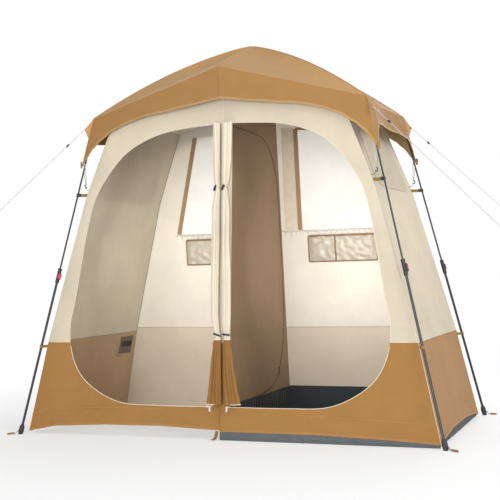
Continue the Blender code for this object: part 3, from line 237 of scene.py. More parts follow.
def smooth_path(places, steps):
    return [Vector(place) for place in smooth_run([tuple(place) for place in places], steps)]


def wrinkle(place, depth):
    """Height of soft creases at a place of the cloth."""
    long_waves = noise.noise(Vector((place.x * 3.1, place.y * 3.1, place.z * 1.7)))
    diagonal = noise.noise(Vector((place.x * 7 + place.z * 5, place.y * 7,
                                   place.z * 6 - place.x * 4)))
    return depth * (long_waves + 0.35 * diagonal)


# Mesh tools

def new_object(name, data):
    obj = bpy.data.objects.new(name, data)
    bpy.context.scene.collection.objects.link(obj)
    return obj


def shares_of(steps):
    """Shares from 0 to 1 in equal steps."""
    return [step / steps for step in range(steps + 1)]


def circle(steps):
    """Cosine and sine of equal turns round a circle."""
    angles = [math.tau * step / steps for step in range(steps)]
    return [(math.cos(angle), math.sin(angle)) for angle in angles]


def make_grid(across, along, place):
    """Mesh of a unit grid whose vertices go where a function of two shares puts them."""
    work = bmesh.new()
    bmesh.ops.create_grid(work, x_segments=across, y_segments=along, size=0.5)
    for vert in work.verts:
        vert.co = place(vert.co.x + 0.5, vert.co.y + 0.5)
    return work


def weld(work, distance=WELD):
    bmesh.ops.remove_doubles(work, verts=work.verts, dist=distance)
    return work


def turn_out(work):
    """Turn the faces of a closed mesh outwards."""
    bmesh.ops.recalc_face_normals(work, faces=work.faces)
    return work


def face_away(work, centre):
    """Turn an open sheet so that its faces point away from a place."""
    work.normal_update()
    total = sum(face.normal.dot(face.calc_center_median() - centre) * face.calc_area()
                for face in work.faces)
    if total < 0:
        bmesh.ops.reverse_faces(work, faces=work.faces)
    return work


def crease(work, depth, centre, fade, along=None):
    """Push a sheet's vertices along their normals by soft creases that fade at its edge."""
    face_away(work, centre)
    work.normal_update()
    rim = [vert.co.copy() for vert in work.verts
           if vert.is_boundary and not (along and abs(vert.co.y) < WELD)]
    moves = {}
    for vert in work.verts:
        near = min(1.0, min((vert.co - place).length for place in rim) / fade)
        moves[vert] = (along or vert.normal) * (wrinkle(vert.co, depth) * near)
    for vert, move in moves.items():
        vert.co += move
    return work


def cut(work, place, normal, clear_inner=False, clear_outer=False):
    """Cut a mesh at a plane, clear what is behind it or before it, and give the cut's parts."""
    return bmesh.ops.bisect_plane(work, geom=work.verts[:] + work.edges[:] + work.faces[:],
                                  dist=WELD, plane_co=place, plane_no=normal,
                                  clear_inner=clear_inner, clear_outer=clear_outer)["geom_cut"]


def reach_of(outline, centre, heading):
    """Distance from a centre to an outline along a heading."""
    best = 0.0
    for start, end in zip(outline, outline[1:] + outline[:1]):
        first = Vector(start) - centre
        edge = Vector(end) - Vector(start)
        spread = heading.x * edge.y - heading.y * edge.x
        if abs(spread) < PARALLEL:
            continue
        distance = (first.x * edge.y - first.y * edge.x) / spread
        share = (first.x * heading.y - first.y * heading.x) / spread
        if distance > best and -EDGE_SLACK <= share <= 1 + EDGE_SLACK:
            best = distance
    return best


def ring_panel(outer, inner, steps, place):
    """Flat panel between an outer and an inner outline, set into space by a function."""
    centre = sum((Vector(point) for point in inner), Vector((0, 0))) / len(inner)
    angles = sorted({round(math.atan2(y - centre.y, x - centre.x), 6)
                     for x, y in [*outer, *inner]})
    full = []
    for start, end in zip(angles, angles[1:] + [angles[0] + math.tau]):
        parts = max(1, round((end - start) / SPOKE_ANGLE))
        full += [blend(start, end, part / parts) for part in range(parts)]
    headings = [Vector((math.cos(angle), math.sin(angle))) for angle in full]
    spokes = [[centre + heading * reach_of(outline, centre, heading) for outline in (inner, outer)]
              for heading in headings]
    count = len(spokes)

    def lay(u, v):
        near, far = spokes[round(u * count) % count]
        return place(*near.lerp(far, v))

    return weld(make_grid(count, steps, lay))


def lay_ribbon(path, width, normals, lift):
    """Open flat band along a path, lying square to its normals."""
    count = len(path)
    frames = []
    for index, point in enumerate(path):
        normal = normals[min(index, len(normals) - 1)].normalized()
        across = ahead_at(path, index).cross(normal).normalized()
        frames.append((point + normal * lift, across))

    def lay(u, v):
        middle, across = frames[round(u * (count - 1))]
        return middle + across * ((v - 0.5) * width)

    return make_grid(count - 1, 2, lay)


def lay_tube(path, radius, sides=8, closed=False, scale=None):
    """Closed round tube along a path, with an optional share of its radius at each point."""
    points = [Vector(point) for point in path]
    count = len(points)
    frames = []
    side = None
    for index, point in enumerate(points):
        if closed:
            ahead = points[(index + 1) % count] - points[index - 1]
        else:
            ahead = ahead_at(points, index)
        ahead.normalize()
        if side is None:
            side = ahead.orthogonal().normalized()
        side = (side - ahead * side.dot(ahead)).normalized()
        frames.append((point, side.copy(), ahead.cross(side)))
    rows = count if closed else count - 1

    def lay(u, v):
        index = round(v * rows) % count
        middle, first, second = frames[index]
        angle = math.tau * (round(u * sides) % sides) / sides
        wide = radius * (scale[index] if scale else 1.0)
        return middle + (first * math.cos(angle) + second * math.sin(angle)) * wide

    work = weld(make_grid(sides, rows, lay), min(WELD, radius / 20))
    if not closed:
        rims = [edge for edge in work.edges if edge.is_boundary]
        bmesh.ops.holes_fill(work, edges=rims, sides=0)
    return turn_out(work)


def lay_turned(profile, steps, matrix):
    """Solid turned from radius and height pairs about a frame's Z axis."""
    work = bmesh.new()
    verts = [work.verts.new((radius, 0, height)) for radius, height in profile]
    edges = [work.edges.new(pair) for pair in zip(verts, verts[1:])]
    bmesh.ops.spin(work, geom=verts + edges, cent=(0, 0, 0), axis=(0, 0, 1), dvec=(0, 0, 0),
                   angle=math.tau, steps=steps, use_merge=True, use_duplicate=False)
    turn_out(weld(work))
    bmesh.ops.transform(work, matrix=matrix, verts=work.verts)
    return work


def lay_block(size, bevel, matrix):
    """Block with rounded edges in a frame."""
    work = bmesh.new()
    bmesh.ops.create_cube(work, size=1.0)
    bmesh.ops.scale(work, vec=size, verts=work.verts)
    bmesh.ops.bevel(work, geom=work.edges[:], offset=bevel, offset_type="OFFSET",
                    segments=2, profile=0.5, affect="EDGES", material=-1)
    bmesh.ops.transform(work, matrix=matrix, verts=work.verts)
    return turn_out(work)


def axes_frame(origin, along, towards):
    """Frame with Z along an axis and X as near as it gets to another direction."""
    z_axis = Vector(along).normalized()
    x_axis = Vector(towards)
    x_axis = (x_axis - z_axis * x_axis.dot(z_axis)).normalized()
    matrix = Matrix((x_axis, z_axis.cross(x_axis), z_axis)).transposed().to_4x4()
    matrix.translation = origin
    return matrix


def joined(*works):
    """One mesh of several."""
    whole = bmesh.new()
    for work in works:
        carrier = bpy.data.meshes.new("carrier")
        work.to_mesh(carrier)
        work.free()
        whole.from_mesh(carrier)
        bpy.data.meshes.remove(carrier)
    return whole


def map_cloth(work, flat):
    """Give the mesh its flat coordinates in metres, for patterns that follow the cloth."""
    layer = work.loops.layers.uv.verify()
    for face in work.faces:
        for loop in face.loops:
            loop[layer].uv = flat(loop.vert.co)


FLAT_WAYS = {
    "front": lambda place: (place.x, place.z),
    "side": lambda place: (place.y, place.z),
    "roof": lambda place: (place.x, place.y),
}


def make_piece(work, name, finishes, body, nodes, way="front", thickness=None,
               lift_out=False):
    """Object of a finished mesh, with its finishes, its thickness and the body that it rides."""
    if way:
        map_cloth(work, FLAT_WAYS[way])
    if thickness is not None:
        for edge in work.edges:
            edge.smooth = not edge.is_boundary
    mesh = bpy.data.meshes.new(name)
    work.to_mesh(mesh)
    work.free()
    obj = new_object(name, mesh)
    for finish in finishes:
        mesh.materials.append(finish_named(finish))
    mesh.shade_smooth()
    if thickness is None:
        mesh.set_sharp_from_angle(angle=SHARP_ANGLE)
    else:
        wall = obj.modifiers.new("cloth", "SOLIDIFY")
        wall.thickness = thickness
        wall.offset = 1.0 if lift_out else -1.0
        wall.material_offset = min(1, len(finishes) - 1)
        wall.use_rim = True
    if nodes:
        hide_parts(*nodes)
    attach(obj, body)
    return obj


def make_line(path, radius, name, finish, body, way="front", sides=8, closed=False):
    """Piece of cord, piping or seam that lies along a path."""
    return make_piece(lay_tube(path, radius, sides, closed), name, [finish], body, (), way)


def hang(pieces, way, corner=None):
    """Give each piece of cloth a mesh of its own."""
    if way in ("eave_front", "eave_rear"):
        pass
    elif way == "roof":
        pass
    else:
        flat = leg_direction(corner)
        flat[0 if way == "side" else 1] = 0
        flat.normalize()
    for piece in pieces:
        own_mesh(piece)


def fan(work, apex, square, bounds):
    """Cut a sheet into wedges that meet at a point, each with its own heading from there."""
    wedges = []
    for start, end in zip(bounds, bounds[1:]):
        part = work.copy()
        cut(part, apex, square.cross(start), clear_inner=True)
        cut(part, apex, end.cross(square), clear_inner=True)
        if part.faces:
            wedges.append((part, (start + end).normalized()))
    work.free()
    return wedges


def draw_in(obj):
    """Give a wedge of cloth a mesh of its own."""
    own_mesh(obj)


def area_of(obj):
    work = bmesh.new()
    work.from_mesh(obj.data)
    area = sum(face.calc_area() for face in work.faces)
    work.free()
    return area


def declare_sheet(obj, length):
    """Work out the area of a cloth's cut; nothing is declared, and the length is not used."""
    area = area_of(obj)


# Finishes

STITCH_PITCH = 0.0040
STITCH_SHARE = 0.66


def set_inputs(tree, node, inputs):
    """Set a node's inputs, or link them where the value is another node's output."""
    for name, value in inputs.items():
        if isinstance(value, bpy.types.NodeSocket):
            tree.links.new(value, node.inputs[name])
        else:
            node.inputs[name].default_value = value


def add_node(tree, kind, inputs=None, **settings):
    node = tree.nodes.new(kind)
    for name, value in settings.items():
        setattr(node, name, value)
    set_inputs(tree, node, inputs or {})
    return node


def calculate(tree, operation, *inputs):
    """Output of a math node for sockets and numbers."""
    return add_node(tree, "ShaderNodeMath", dict(enumerate(inputs)),
                    operation=operation).outputs["Value"]


def blank_finish(name, inputs):
    material = bpy.data.materials.new(name)
    material.use_nodes = True
    tree = material.node_tree
    shader = tree.nodes["Principled BSDF"]
    set_inputs(tree, shader, inputs)
    return material, tree, shader


def object_places(tree):
    return add_node(tree, "ShaderNodeTexCoord").outputs["Object"]


def flat_places(tree):
    """Flat coordinates of a cloth or a tape, in metres."""
    return add_node(tree, "ShaderNodeUVMap", uv_map="UVMap").outputs["UV"]


def ramp_between(tree, factor, low, high):
    """Colour that runs between two places, each with its colour."""
    ramp = add_node(tree, "ShaderNodeValToRGB", {"Fac": factor})
    for element, (position, colour) in zip(ramp.color_ramp.elements, (low, high)):
        element.position = position
        element.color = (*colour, 1.0)
    return ramp.outputs["Color"]


def mottled(tree, colour, spread, scale, vector):
    """Colour that wanders a little about a given one."""
    spots = add_node(tree, "ShaderNodeTexNoise",
                     {"Vector": vector, "Scale": scale, "Detail": 5.0, "Roughness": 0.6})
    return ramp_between(tree, spots.outputs["Fac"],
                        (0.3, [value * (1 - spread) for value in colour]),
                        (0.7, [min(1.0, value * (1 + spread)) for value in colour]))


def threads(tree, direction, width, vector, distortion=0.0):
    """Share that rises and falls once over each thread or rib."""
    return add_node(tree, "ShaderNodeTexWave",
                    {"Vector": vector, "Scale": math.tau / (20 * width),
                     "Distortion": distortion},
                    wave_type="BANDS", bands_direction=direction).outputs["Fac"]


def crossed_threads(tree, operation, width, vector, distortion=0.0):
    return calculate(tree, operation, *(threads(tree, direction, width, vector, distortion)
                                        for direction in ("X", "Y")))


def raised(tree, height, strength, distance, under=None):
    """Normal of a surface that a height raises, over the normal of a coarser one."""
    bump = add_node(tree, "ShaderNodeBump",
                    {"Height": height, "Strength": strength, "Distance": distance})
    if under is not None:
        set_inputs(tree, bump, {"Normal": under})
    return bump.outputs["Normal"]


def mixed(tree, share, first, second):
    """Shader that lies between two others by a share."""
    return add_node(tree, "ShaderNodeMixShader",
                    {"Fac": share, 1: first, 2: second}).outputs["Shader"]


def cloth_finish(name, colour, weave=0.0011, mottling=0.05, roughness=0.78, sheen=0.12,
                 creases=0.5, see_through=0.0):
    """Plain-woven cloth: threads both ways, soft creases, a little uneven colour."""
    material, tree, shader = blank_finish(name, {
        "Roughness": roughness, "Sheen Weight": sheen, "Sheen Roughness": 0.5,
        "Specular IOR Level": 0.3})
    places = object_places(tree)
    woven = crossed_threads(tree, "MULTIPLY", weave, flat_places(tree), 0.4)
    shade = add_node(tree, "ShaderNodeMix", {
        "Factor": 0.10, "A": mottled(tree, colour, mottling, 5.0, places), "B": woven},
        data_type="RGBA", blend_type="MULTIPLY").outputs["Result"]
    folds = add_node(tree, "ShaderNodeTexNoise", {
        "Vector": places, "Scale": 7.0, "Detail": 3.0, "Distortion": 0.8})
    soft = raised(tree, folds.outputs["Fac"], creases, 0.010)
    set_inputs(tree, shader, {"Base Color": shade,
                              "Normal": raised(tree, woven, 0.25, 0.0002, soft)})
    if see_through:
        glow = add_node(tree, "ShaderNodeBsdfTranslucent", {"Color": shade})
        set_inputs(tree, tree.nodes["Material Output"], {"Surface": mixed(
            tree, see_through, shader.outputs["BSDF"], glow.outputs["BSDF"])})
    return material


def webbing_finish(name, colour, rib=0.0016):
    """Webbing or binding tape: fine ribs across, and a colour that wanders."""
    material, tree, shader = blank_finish(name, {"Roughness": 0.75, "Sheen Weight": 0.1})
    places = object_places(tree)
    ribs = threads(tree, "DIAGONAL", rib, places)
    set_inputs(tree, shader, {"Base Color": mottled(tree, colour, 0.10, 60.0, places),
                              "Normal": raised(tree, ribs, 0.4, 0.0003)})
    return material


def stitched_finish(name, colour, thread):
    """Sewn tape: ribbed cloth with a row of stitches along each edge."""
    material, tree, shader = blank_finish(name, {"Roughness": 0.78, "Sheen Weight": 0.1})
    flat = flat_places(tree)
    parts = add_node(tree, "ShaderNodeSeparateXYZ", {"Vector": flat})
    beat = calculate(tree, "FRACT",
                     calculate(tree, "MULTIPLY", parts.outputs["X"], 1.0 / STITCH_PITCH))
    off = calculate(tree, "ABSOLUTE", calculate(tree, "SUBTRACT", parts.outputs["Y"], 0.5))
    stitch = calculate(tree, "MULTIPLY", calculate(tree, "LESS_THAN", beat, STITCH_SHARE),
                       calculate(tree, "COMPARE", off, 0.34, 0.045))
    tone = mottled(tree, colour, 0.07, 22.0, object_places(tree))
    shade = add_node(tree, "ShaderNodeMix", {"Factor": stitch, "A": tone, "B": (*thread, 1.0)},
                     data_type="RGBA")
    height = calculate(tree, "MULTIPLY_ADD", threads(tree, "X", 0.0014, flat), 0.4, stitch)
    set_inputs(tree, shader, {"Base Color": shade.outputs["Result"],
                              "Normal": raised(tree, height, 0.5, 0.0004)})
    return material


def mesh_finish(name, colour, roughness, hole=0.002):
    """Fine netting: a grid of threads over darker holes."""
    material, tree, shader = blank_finish(name, {"Roughness": roughness})
    net = crossed_threads(tree, "MAXIMUM", hole, flat_places(tree))
    set_inputs(tree, shader, {
        "Base Color": ramp_between(tree, net, (0.45, darker(colour, 0.72)), (0.75, colour)),
        "Normal": raised(tree, net, 0.3, 0.0003)})
    return material


def hard_finish(name, colour, roughness, metallic=0.0):
    """Moulded plastic or coated metal: a fine grain and a slightly uneven gloss."""
    material, tree, shader = blank_finish(name, {"Roughness": roughness, "Metallic": metallic})
    places = object_places(tree)
    clouds = add_node(tree, "ShaderNodeTexNoise", {"Vector": places, "Scale": 25.0, "Detail": 4.0})
    gloss = add_node(tree, "ShaderNodeMapRange", {
        "Value": clouds.outputs["Fac"], "To Min": roughness - 0.08, "To Max": roughness + 0.08})
    grain = add_node(tree, "ShaderNodeTexNoise", {"Vector": places, "Scale": 900.0})
    set_inputs(tree, shader, {"Base Color": mottled(tree, colour, 0.08, 40.0, places),
                              "Roughness": gloss.outputs["Result"],
                              "Normal": raised(tree, grain.outputs["Fac"], 0.3, 0.0001)})
    return material


# Finishes by the function that makes them: the name of the material, the colour that it takes,
# what differs from the plain finish, and the shares of the colour that it wears, 1 if not given
FINISH_TABLE = {
    cloth_finish: {
        "fly": ("fly_cloth", "fly", {"creases": 0.45, "sheen": 0.10, "see_through": 0.08}),
        # The valance is the fly's own cloth; its darker colour is painted shade of the hanging edge
        "fly_low_painted_shade": ("valance_cloth", "valance", {"creases": 0.45, "see_through": 0.08}),
        "fly_inside": ("fly_inside", "fly_inside", {"creases": 0.4}),
        "wall": ("wall_cloth", "wall", {"see_through": 0.30}),
        "wall_inside": ("wall_inside", "wall_inside", {"see_through": 0.25}),
        "skirt": ("skirt_cloth", "skirt", {"mottling": 0.06}),
        "skirt_inside": ("skirt_inside", "skirt_inside", {}),
        "door_top": ("door_top_cloth", "wall", {"creases": 0.8}, 0.90),
        "partition": ("partition_cloth", "partition", {"creases": 0.8}),
        "door": ("door_cloth", "gathered_door", {"mottling": 0.08, "creases": 0.7}),
        "window": ("window_cloth", "window", {"see_through": 0.5}),
        "back_inside": ("back_inside", "back_inside", {"see_through": 0.45}),
        "side_inside": ("side_inside", "side_inside", {"see_through": 0.42}),
        "side_skirt_inside": ("side_skirt_inside", "side_skirt_inside", {}),
        "port": ("port_patch", "port", {"creases": 0.3}),
        "port_flap": ("port_flap", "port", {}, 0.35),
        # The back wall's inside cloth at a lower share: painted shade in the rolled gathers
        "gather": ("gathered_edge", "back_inside", {}, 0.72),
        "vent": ("vent_cloth", "vent", {"see_through": 0.4}),
        "sheet": ("floor_sheet", "floor_sheet", {"weave": 0.002, "roughness": 0.5, "creases": 0.6}),
        "strip": ("ground_strip", "ground_strip", {"roughness": 0.55}),
    },
    webbing_finish: {
        "fly_seam": ("fly_seam", "fly", {}, 0.82),
        "fly_line": ("fly_line", "fly", {}, 0.5),
        "skirt_seam": ("skirt_seam", "skirt", {}, 0.5),
        "wall_seam": ("wall_seam", "wall", {}, 0.9),
        "inner_seam": ("inner_seam", "side_inside", {}, 0.4),
        "partition_zip": ("partition_zip", "partition", {}, 0.32),
        "binding": ("brown_binding", "binding", {}),
        "webbing": ("brown_webbing", "webbing", {}),
        "piping": ("cream_piping", "piping", {}),
        "tape": ("zip_tape", "tape", {}),
        "dark_cord": ("dark_cord", "plastic", {"rib": 0.0012}),
    },
    stitched_finish: {
        "post_band": ("post_band", "post", {}, 1, 0.75),
        "fly_hem": ("fly_hem", "fly", {}, 0.72, 0.45),
        "skirt_hem": ("skirt_hem", "skirt", {}, 0.96, 0.6),
        "binding_band": ("binding_band", "binding", {}, 1, 0.65),
        "webbing_band": ("webbing_band", "webbing", {}, 1, 0.6),
        "partition_band": ("partition_band", "partition", {}, 0.85, 0.6),
        "pocket_band": ("pocket_band", "binding", {}, 0.66, 0.4),
    },
    mesh_finish: {
        "net": ("pocket_net", "net", {"roughness": 0.36}),
    },
    hard_finish: {
        "metal": ("dark_coated_metal", "frame_metal", {"roughness": 0.38, "metallic": 0.6}),
        "plastic": ("dark_plastic", "plastic", {"roughness": 0.5}),
        "toggle": ("toggle_plastic", "plastic", {"roughness": 0.6}, 0.4),
        "button": ("button_plastic", "button", {"roughness": 0.38}),
        "cord": ("pale_cord", "cord", {"roughness": 0.8}),
        "eyelet": ("eyelet_metal", "eyelet", {"roughness": 0.35, "metallic": 0.9}),
    },
}
FINISHES = {}


def finish_named(name):
    """Finish of the tent by its name, made when it is first asked for."""
    if name not in FINISHES:
        make, rows = next(pair for pair in FINISH_TABLE.items() if name in pair[1])
        label, source, settings, *shares = rows[name]
        colour = getattr(bpy.context.scene.tent_colours, source)
        FINISHES[name] = make(label, *(darker(colour, share) for share in shares or [1]),
                              **settings)
    return FINISHES[name]


def darker(colour, share):
    return tuple(value * share for value in colour)


def linear(red, green, blue):
    """Colour of three numbers out of 255 as Blender keeps it."""
    values = []
    for number in (red, green, blue):
        value = number / 255
        values.append(value / 12.92 if value <= 0.04045 else ((value + 0.055) / 1.055) ** 2.4)
    return tuple(values)


def colour_property(name, description, red, green, blue):
    return FloatVectorProperty(name=name, description=description, subtype="COLOR", size=3,
                               min=0.0, max=1.0, default=linear(red, green, blue))


class TentColours(bpy.types.PropertyGroup):
    """Colours of the cloths and fittings."""
    fly: colour_property("Fly", "Outside of the rain roof", 199, 156, 101)
    # Darker than the fly, whose cloth it is: painted shade of the hanging edge
    valance: colour_property("Valance", "Hanging edge of the rain roof", 171, 127, 74)
    fly_inside: colour_property("Fly inside", "Inside of the rain roof", 170, 140, 100)
    wall: colour_property("Walls", "Outside of the upper walls", 239, 228, 206)
    wall_inside: colour_property("Walls inside", "Inside of the upper walls", 234, 229, 214)
    skirt: colour_property("Skirt", "Outside of the skirt round the foot", 166, 121, 64)
    skirt_inside: colour_property("Skirt inside", "Inside of the skirt", 214, 201, 182)
    back_inside: colour_property("Back wall inside", "Inside of the back wall", 246, 243, 236)
    side_inside: colour_property("Side walls inside", "Inside of the side walls", 236, 229, 212)
    side_skirt_inside: colour_property("Side skirt inside", "Inside of the side skirts",
                                       194, 164, 128)
    post: colour_property("Window posts", "Tape beside the windows", 205, 192, 172)
    vent: colour_property("Side vents", "Light covers at the top of the side walls", 238, 229, 208)
    port: colour_property("Hose port", "Patch round the hose port", 108, 100, 88)
    partition: colour_property("Partition", "Cloth between the two rooms", 158, 128, 95)
    gathered_door: colour_property("Gathered doors", "Door cloth tied to the pillar", 152, 108, 55)
    window: colour_property("Windows", "Light panels of the back wall", 251, 249, 245)
    binding: colour_property("Binding", "Tape round the windows and pockets", 150, 122, 92)
    webbing: colour_property("Webbing", "Straps and stake loops", 139, 107, 56)
    piping: colour_property("Piping", "Cream edge of the doorways", 222, 210, 186)
    net: colour_property("Pocket net", "Netting of the pockets", 200, 190, 172)
    floor_sheet: colour_property("Floor tray", "Coated sheet of the floor", 54, 59, 64)
    ground_strip: colour_property("Ground strip", "Edge of the ground sheet", 92, 97, 100)
    frame_metal: colour_property("Poles", "Coated poles", 60, 60, 64)
    plastic: colour_property("Fittings", "Moulded hubs, collars and feet", 38, 38, 41)
    button: colour_property("Buttons", "Push buttons of the legs", 200, 52, 95)
    cord: colour_property("Guy lines", "Braided cord", 184, 184, 181)
    tape: colour_property("Zip tape", "Tape and teeth of the zips", 236, 231, 222)
    eyelet: colour_property("Eyelets", "Metal rings of the guy tabs", 60, 58, 56)


def length_property(name, description, default, least, most):
    return FloatProperty(name=name, description=description, default=default, min=least,
                         max=most, unit="LENGTH", precision=4)


class TentSizes(bpy.types.PropertyGroup):
    """Sizes of the cloth work."""
    cloth: length_property("Cloth", "Thickness of the cloth", 0.0008, 0.0003, 0.003)
    tape_width: length_property("Tape", "Width of tapes and hems", 0.012, 0.004, 0.05)
    piping_radius: length_property("Piping", "Radius of the piping on seams", 0.0018, 0.0005, 0.01)
    wall_creases: length_property("Wall creases", "Depth of the walls' soft creases", 0.004, 0.0,
                                  0.02)
    roof_creases: length_property("Roof creases", "Depth of the roof's soft creases", 0.0025, 0.0,
                                  0.02)


# Stage

CAMERA_PLACE = Vector((1.972, -5.212, 0.810))
CAMERA_TURN = math.radians(20.98)
CAMERA_TILT = math.radians(1.25)
CAMERA_ROLL = math.radians(1.36)
CAMERA_LENS = 74.87
STAGE_RADIUS = 30.0
STAGE_DROP = 0.0005
SKY_COLOUR = (0.97, 0.98, 1.0)
SKY_STRENGTH = 0.56
FADE_START = 0.9
FADE_END = 3.2
FADE_LEAST = 0.45

# Name, place, target, width, watts and colour
LAMPS = (
    ("front_lamp", (1.0, -6.5, 1.5), (0, 0, 0.85), 2.6, 185, (1.0, 0.99, 0.975)),
    ("key_lamp", (5.6, -2.4, 3.4), (0, 0, 0.9), 3.0, 165, (1.0, 0.985, 0.96)),
    ("back_lamp", (0.3, 5.2, 2.4), (0, 0, 1.0), 3.0, 140, (1.0, 1.0, 1.0)),
    ("room_lamp_left", (-0.41, -0.28, 0.85), (-0.41, 0.45, 0.86), 0.66, 2.7, (1.0, 0.995, 0.98)),
    ("room_lamp_right", (0.46, -0.28, 0.85), (0.46, 0.45, 0.86), 0.66, 3.3, (1.0, 0.995, 0.98)),
)
ROOM_LAMP_SPREAD = math.radians(125)


def place_camera(scene):
    data = bpy.data.cameras.new("photo_camera")
    data.lens = CAMERA_LENS
    data.sensor_width = 36.0
    data.clip_end = 100.0
    camera = new_object("photo_camera", data)
    camera.matrix_world = (Matrix.Translation(CAMERA_PLACE)
                           @ Matrix.Rotation(CAMERA_TURN, 4, "Z")
                           @ Matrix.Rotation(math.radians(90) + CAMERA_TILT, 4, "X")
                           @ Matrix.Rotation(-CAMERA_ROLL, 4, "Z"))
    scene.camera = camera


def place_lamp(name, place, target, size, power, colour):
    data = bpy.data.lights.new(name, "AREA")
    data.shape = "DISK"
    data.size = size
    data.energy = power
    data.color = colour
    lamp = new_object(name, data)
    away = Vector(place) - Vector(target)
    lamp.matrix_world = (Matrix.Translation(place)
                         @ away.to_track_quat("Z", "Y").to_matrix().to_4x4())
    return lamp


def white_for_views(tree):
    """Share that is 1 for rays that should meet a plain white background."""
    rays = add_node(tree, "ShaderNodeLightPath").outputs
    seen = calculate(tree, "MAXIMUM", rays["Is Camera Ray"], rays["Is Glossy Ray"])
    return calculate(tree, "MAXIMUM", seen, rays["Is Transmission Ray"])


def background(tree, colour, strength):
    return add_node(tree, "ShaderNodeBackground",
                    {"Color": (*colour, 1.0), "Strength": strength}).outputs["Background"]


def light_world(scene):
    world = bpy.data.worlds.new("studio")
    world.use_nodes = True
    scene.world = world
    tree = world.node_tree
    tree.nodes.clear()
    add_node(tree, "ShaderNodeOutputWorld", {"Surface": mixed(
        tree, white_for_views(tree), background(tree, SKY_COLOUR, SKY_STRENGTH),
        background(tree, (1.0, 1.0, 1.0), 1.0))})


def floor_finish():
    """White floor that keeps the tent's shadow near it and runs out into plain white."""
    material, tree, shader = blank_finish("studio_floor", {
        "Base Color": (0.93, 0.93, 0.93, 1.0), "Roughness": 0.9, "Specular IOR Level": 0.1})
    reach = add_node(tree, "ShaderNodeVectorMath", {0: object_places(tree)}, operation="LENGTH")
    fade = add_node(tree, "ShaderNodeMapRange", {
        "Value": reach.outputs["Value"], "From Min": FADE_START, "From Max": FADE_END,
        "To Min": FADE_LEAST}, interpolation_type="SMOOTHSTEP")
    share = calculate(tree, "MULTIPLY", fade.outputs["Result"], white_for_views(tree))
    glow = add_node(tree, "ShaderNodeEmission", {"Strength": 1.0})
    set_inputs(tree, tree.nodes["Material Output"], {"Surface": mixed(
        tree, share, shader.outputs["BSDF"], glow.outputs["Emission"])})
    return material


def place_floor():
    work = bmesh.new()
    bmesh.ops.create_circle(work, cap_ends=True, segments=96, radius=STAGE_RADIUS)
    bmesh.ops.translate(work, vec=(0, 0, -STAGE_DROP), verts=work.verts)
    mesh = bpy.data.meshes.new("studio_floor")
    work.to_mesh(mesh)
    work.free()
    mesh.materials.append(floor_finish())
    new_object("studio_floor", mesh)


class TENT_OT_stage(bpy.types.Operator):
    """Camera, soft lamps, white surroundings and floor"""
    bl_idname = "tent.stage"
    bl_label = "Stage"

    def execute(self, context):
        scene = context.scene
        scene.view_settings.view_transform = "Standard"
        place_camera(scene)
        light_world(scene)
        place_floor()
        for row in LAMPS:
            lamp = place_lamp(*row)
            if row[0].startswith("room_lamp"):
                lamp.data.spread = ROOM_LAMP_SPREAD
                lamp.visible_camera = False
        return {"FINISHED"}


# Guy lines

def guy_start(corner):
    side, end = CORNERS[corner]
    return Vector((side * TAB_TIP.x, end * TAB_TIP.y, TAB_TIP.z))


def guy_heading(corner):
    side, end = CORNERS[corner]
    return Vector((side * GUY_OUT, end * GUY_FORWARD, -TAB_TIP.z)).normalized()


def lay_guy_end(corner):
    """Wrapped knot and open loop at the far end of a guy line."""
    along = guy_heading(corner)
    start = guy_start(corner) + along * (GUY_LENGTHS[corner] + KNOT_GAP + KNOT_RADIUS)
    frame_here = axes_frame(start, along, UP)
    wraps = []
    for turn in range(3):
        level = (turn - 1) * 1.6 * GUY_RADIUS
        ring = [frame_here @ Vector((near * 0.6 * KNOT_RADIUS, far * 0.6 * KNOT_RADIUS,
                                     level + 0.4 * GUY_RADIUS * far))
                for near, far in circle(14)]
        wraps.append(lay_tube(ring, 0.8 * GUY_RADIUS, 8, closed=True))
    loop = [frame_here @ Vector((far * LOOP_RADIUS * 0.62, 0, LOOP_RADIUS - near * LOOP_RADIUS))
            for near, far in circle(36)]
    return joined(*wraps, lay_tube(loop, GUY_RADIUS, 10, closed=True))


class TENT_OT_guy_lines(bpy.types.Operator):
    """Guy lines with the loops that they end in"""
    bl_idname = "tent.guy_lines"
    bl_label = "Guy lines"

    def execute(self, context):
        for corner, length in GUY_LENGTHS.items():
            start = guy_start(corner)
            along = guy_heading(corner)
            path = [start + along * blend(GUY_START, length, share) for share in shares_of(24)]
            line = make_piece(lay_tube(path, GUY_RADIUS, 12), "guy_cord_" + corner, ["cord"],
                              "leg_" + corner, ["guy_line_" + corner])
            end = make_piece(lay_guy_end(corner), "guy_end_" + corner, ["cord"], "leg_" + corner,
                             ["guy_loop_" + corner])
        return {"FINISHED"}


# Frame

NODE_FINISHES = (
    ("metal", ("roof_arm_", "eave_arm_", "upper_rod_", "lower_tube_")),
    ("plastic", ("hub", "hub_cap", "elbow_", "leg_collar_", "guy_adjuster_")),
    ("button", ("leg_button_",)),
)


class TENT_OT_frame_finish(bpy.types.Operator):
    """Coated metal and moulded plastic on the frame's own parts"""
    bl_idname = "tent.frame_finish"
    bl_label = "Frame finishes"

    def execute(self, context):
        for finish, starts in NODE_FINISHES:
            for name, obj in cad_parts.items():
                if not name.startswith(starts):
                    continue
                for place in obj.material_slots:
                    place.material = finish_named(finish)
        return {"FINISHED"}


# Fly

def ear_line(height):
    """Fold of the fly's corner in the front right quarter, just outside the leg."""
    leg = leg_point("front_right", height)
    return Vector((leg.x + EAR_OUT, leg.y - EAR_FORWARD, height))


EAR_CORNER = ear_line(FLY_CORNER_HEIGHT)
EAR_TIP = ear_line(EAR_TIP_HEIGHT)
EAR_DROP = FLY_CORNER_HEIGHT - EAR_TIP_HEIGHT


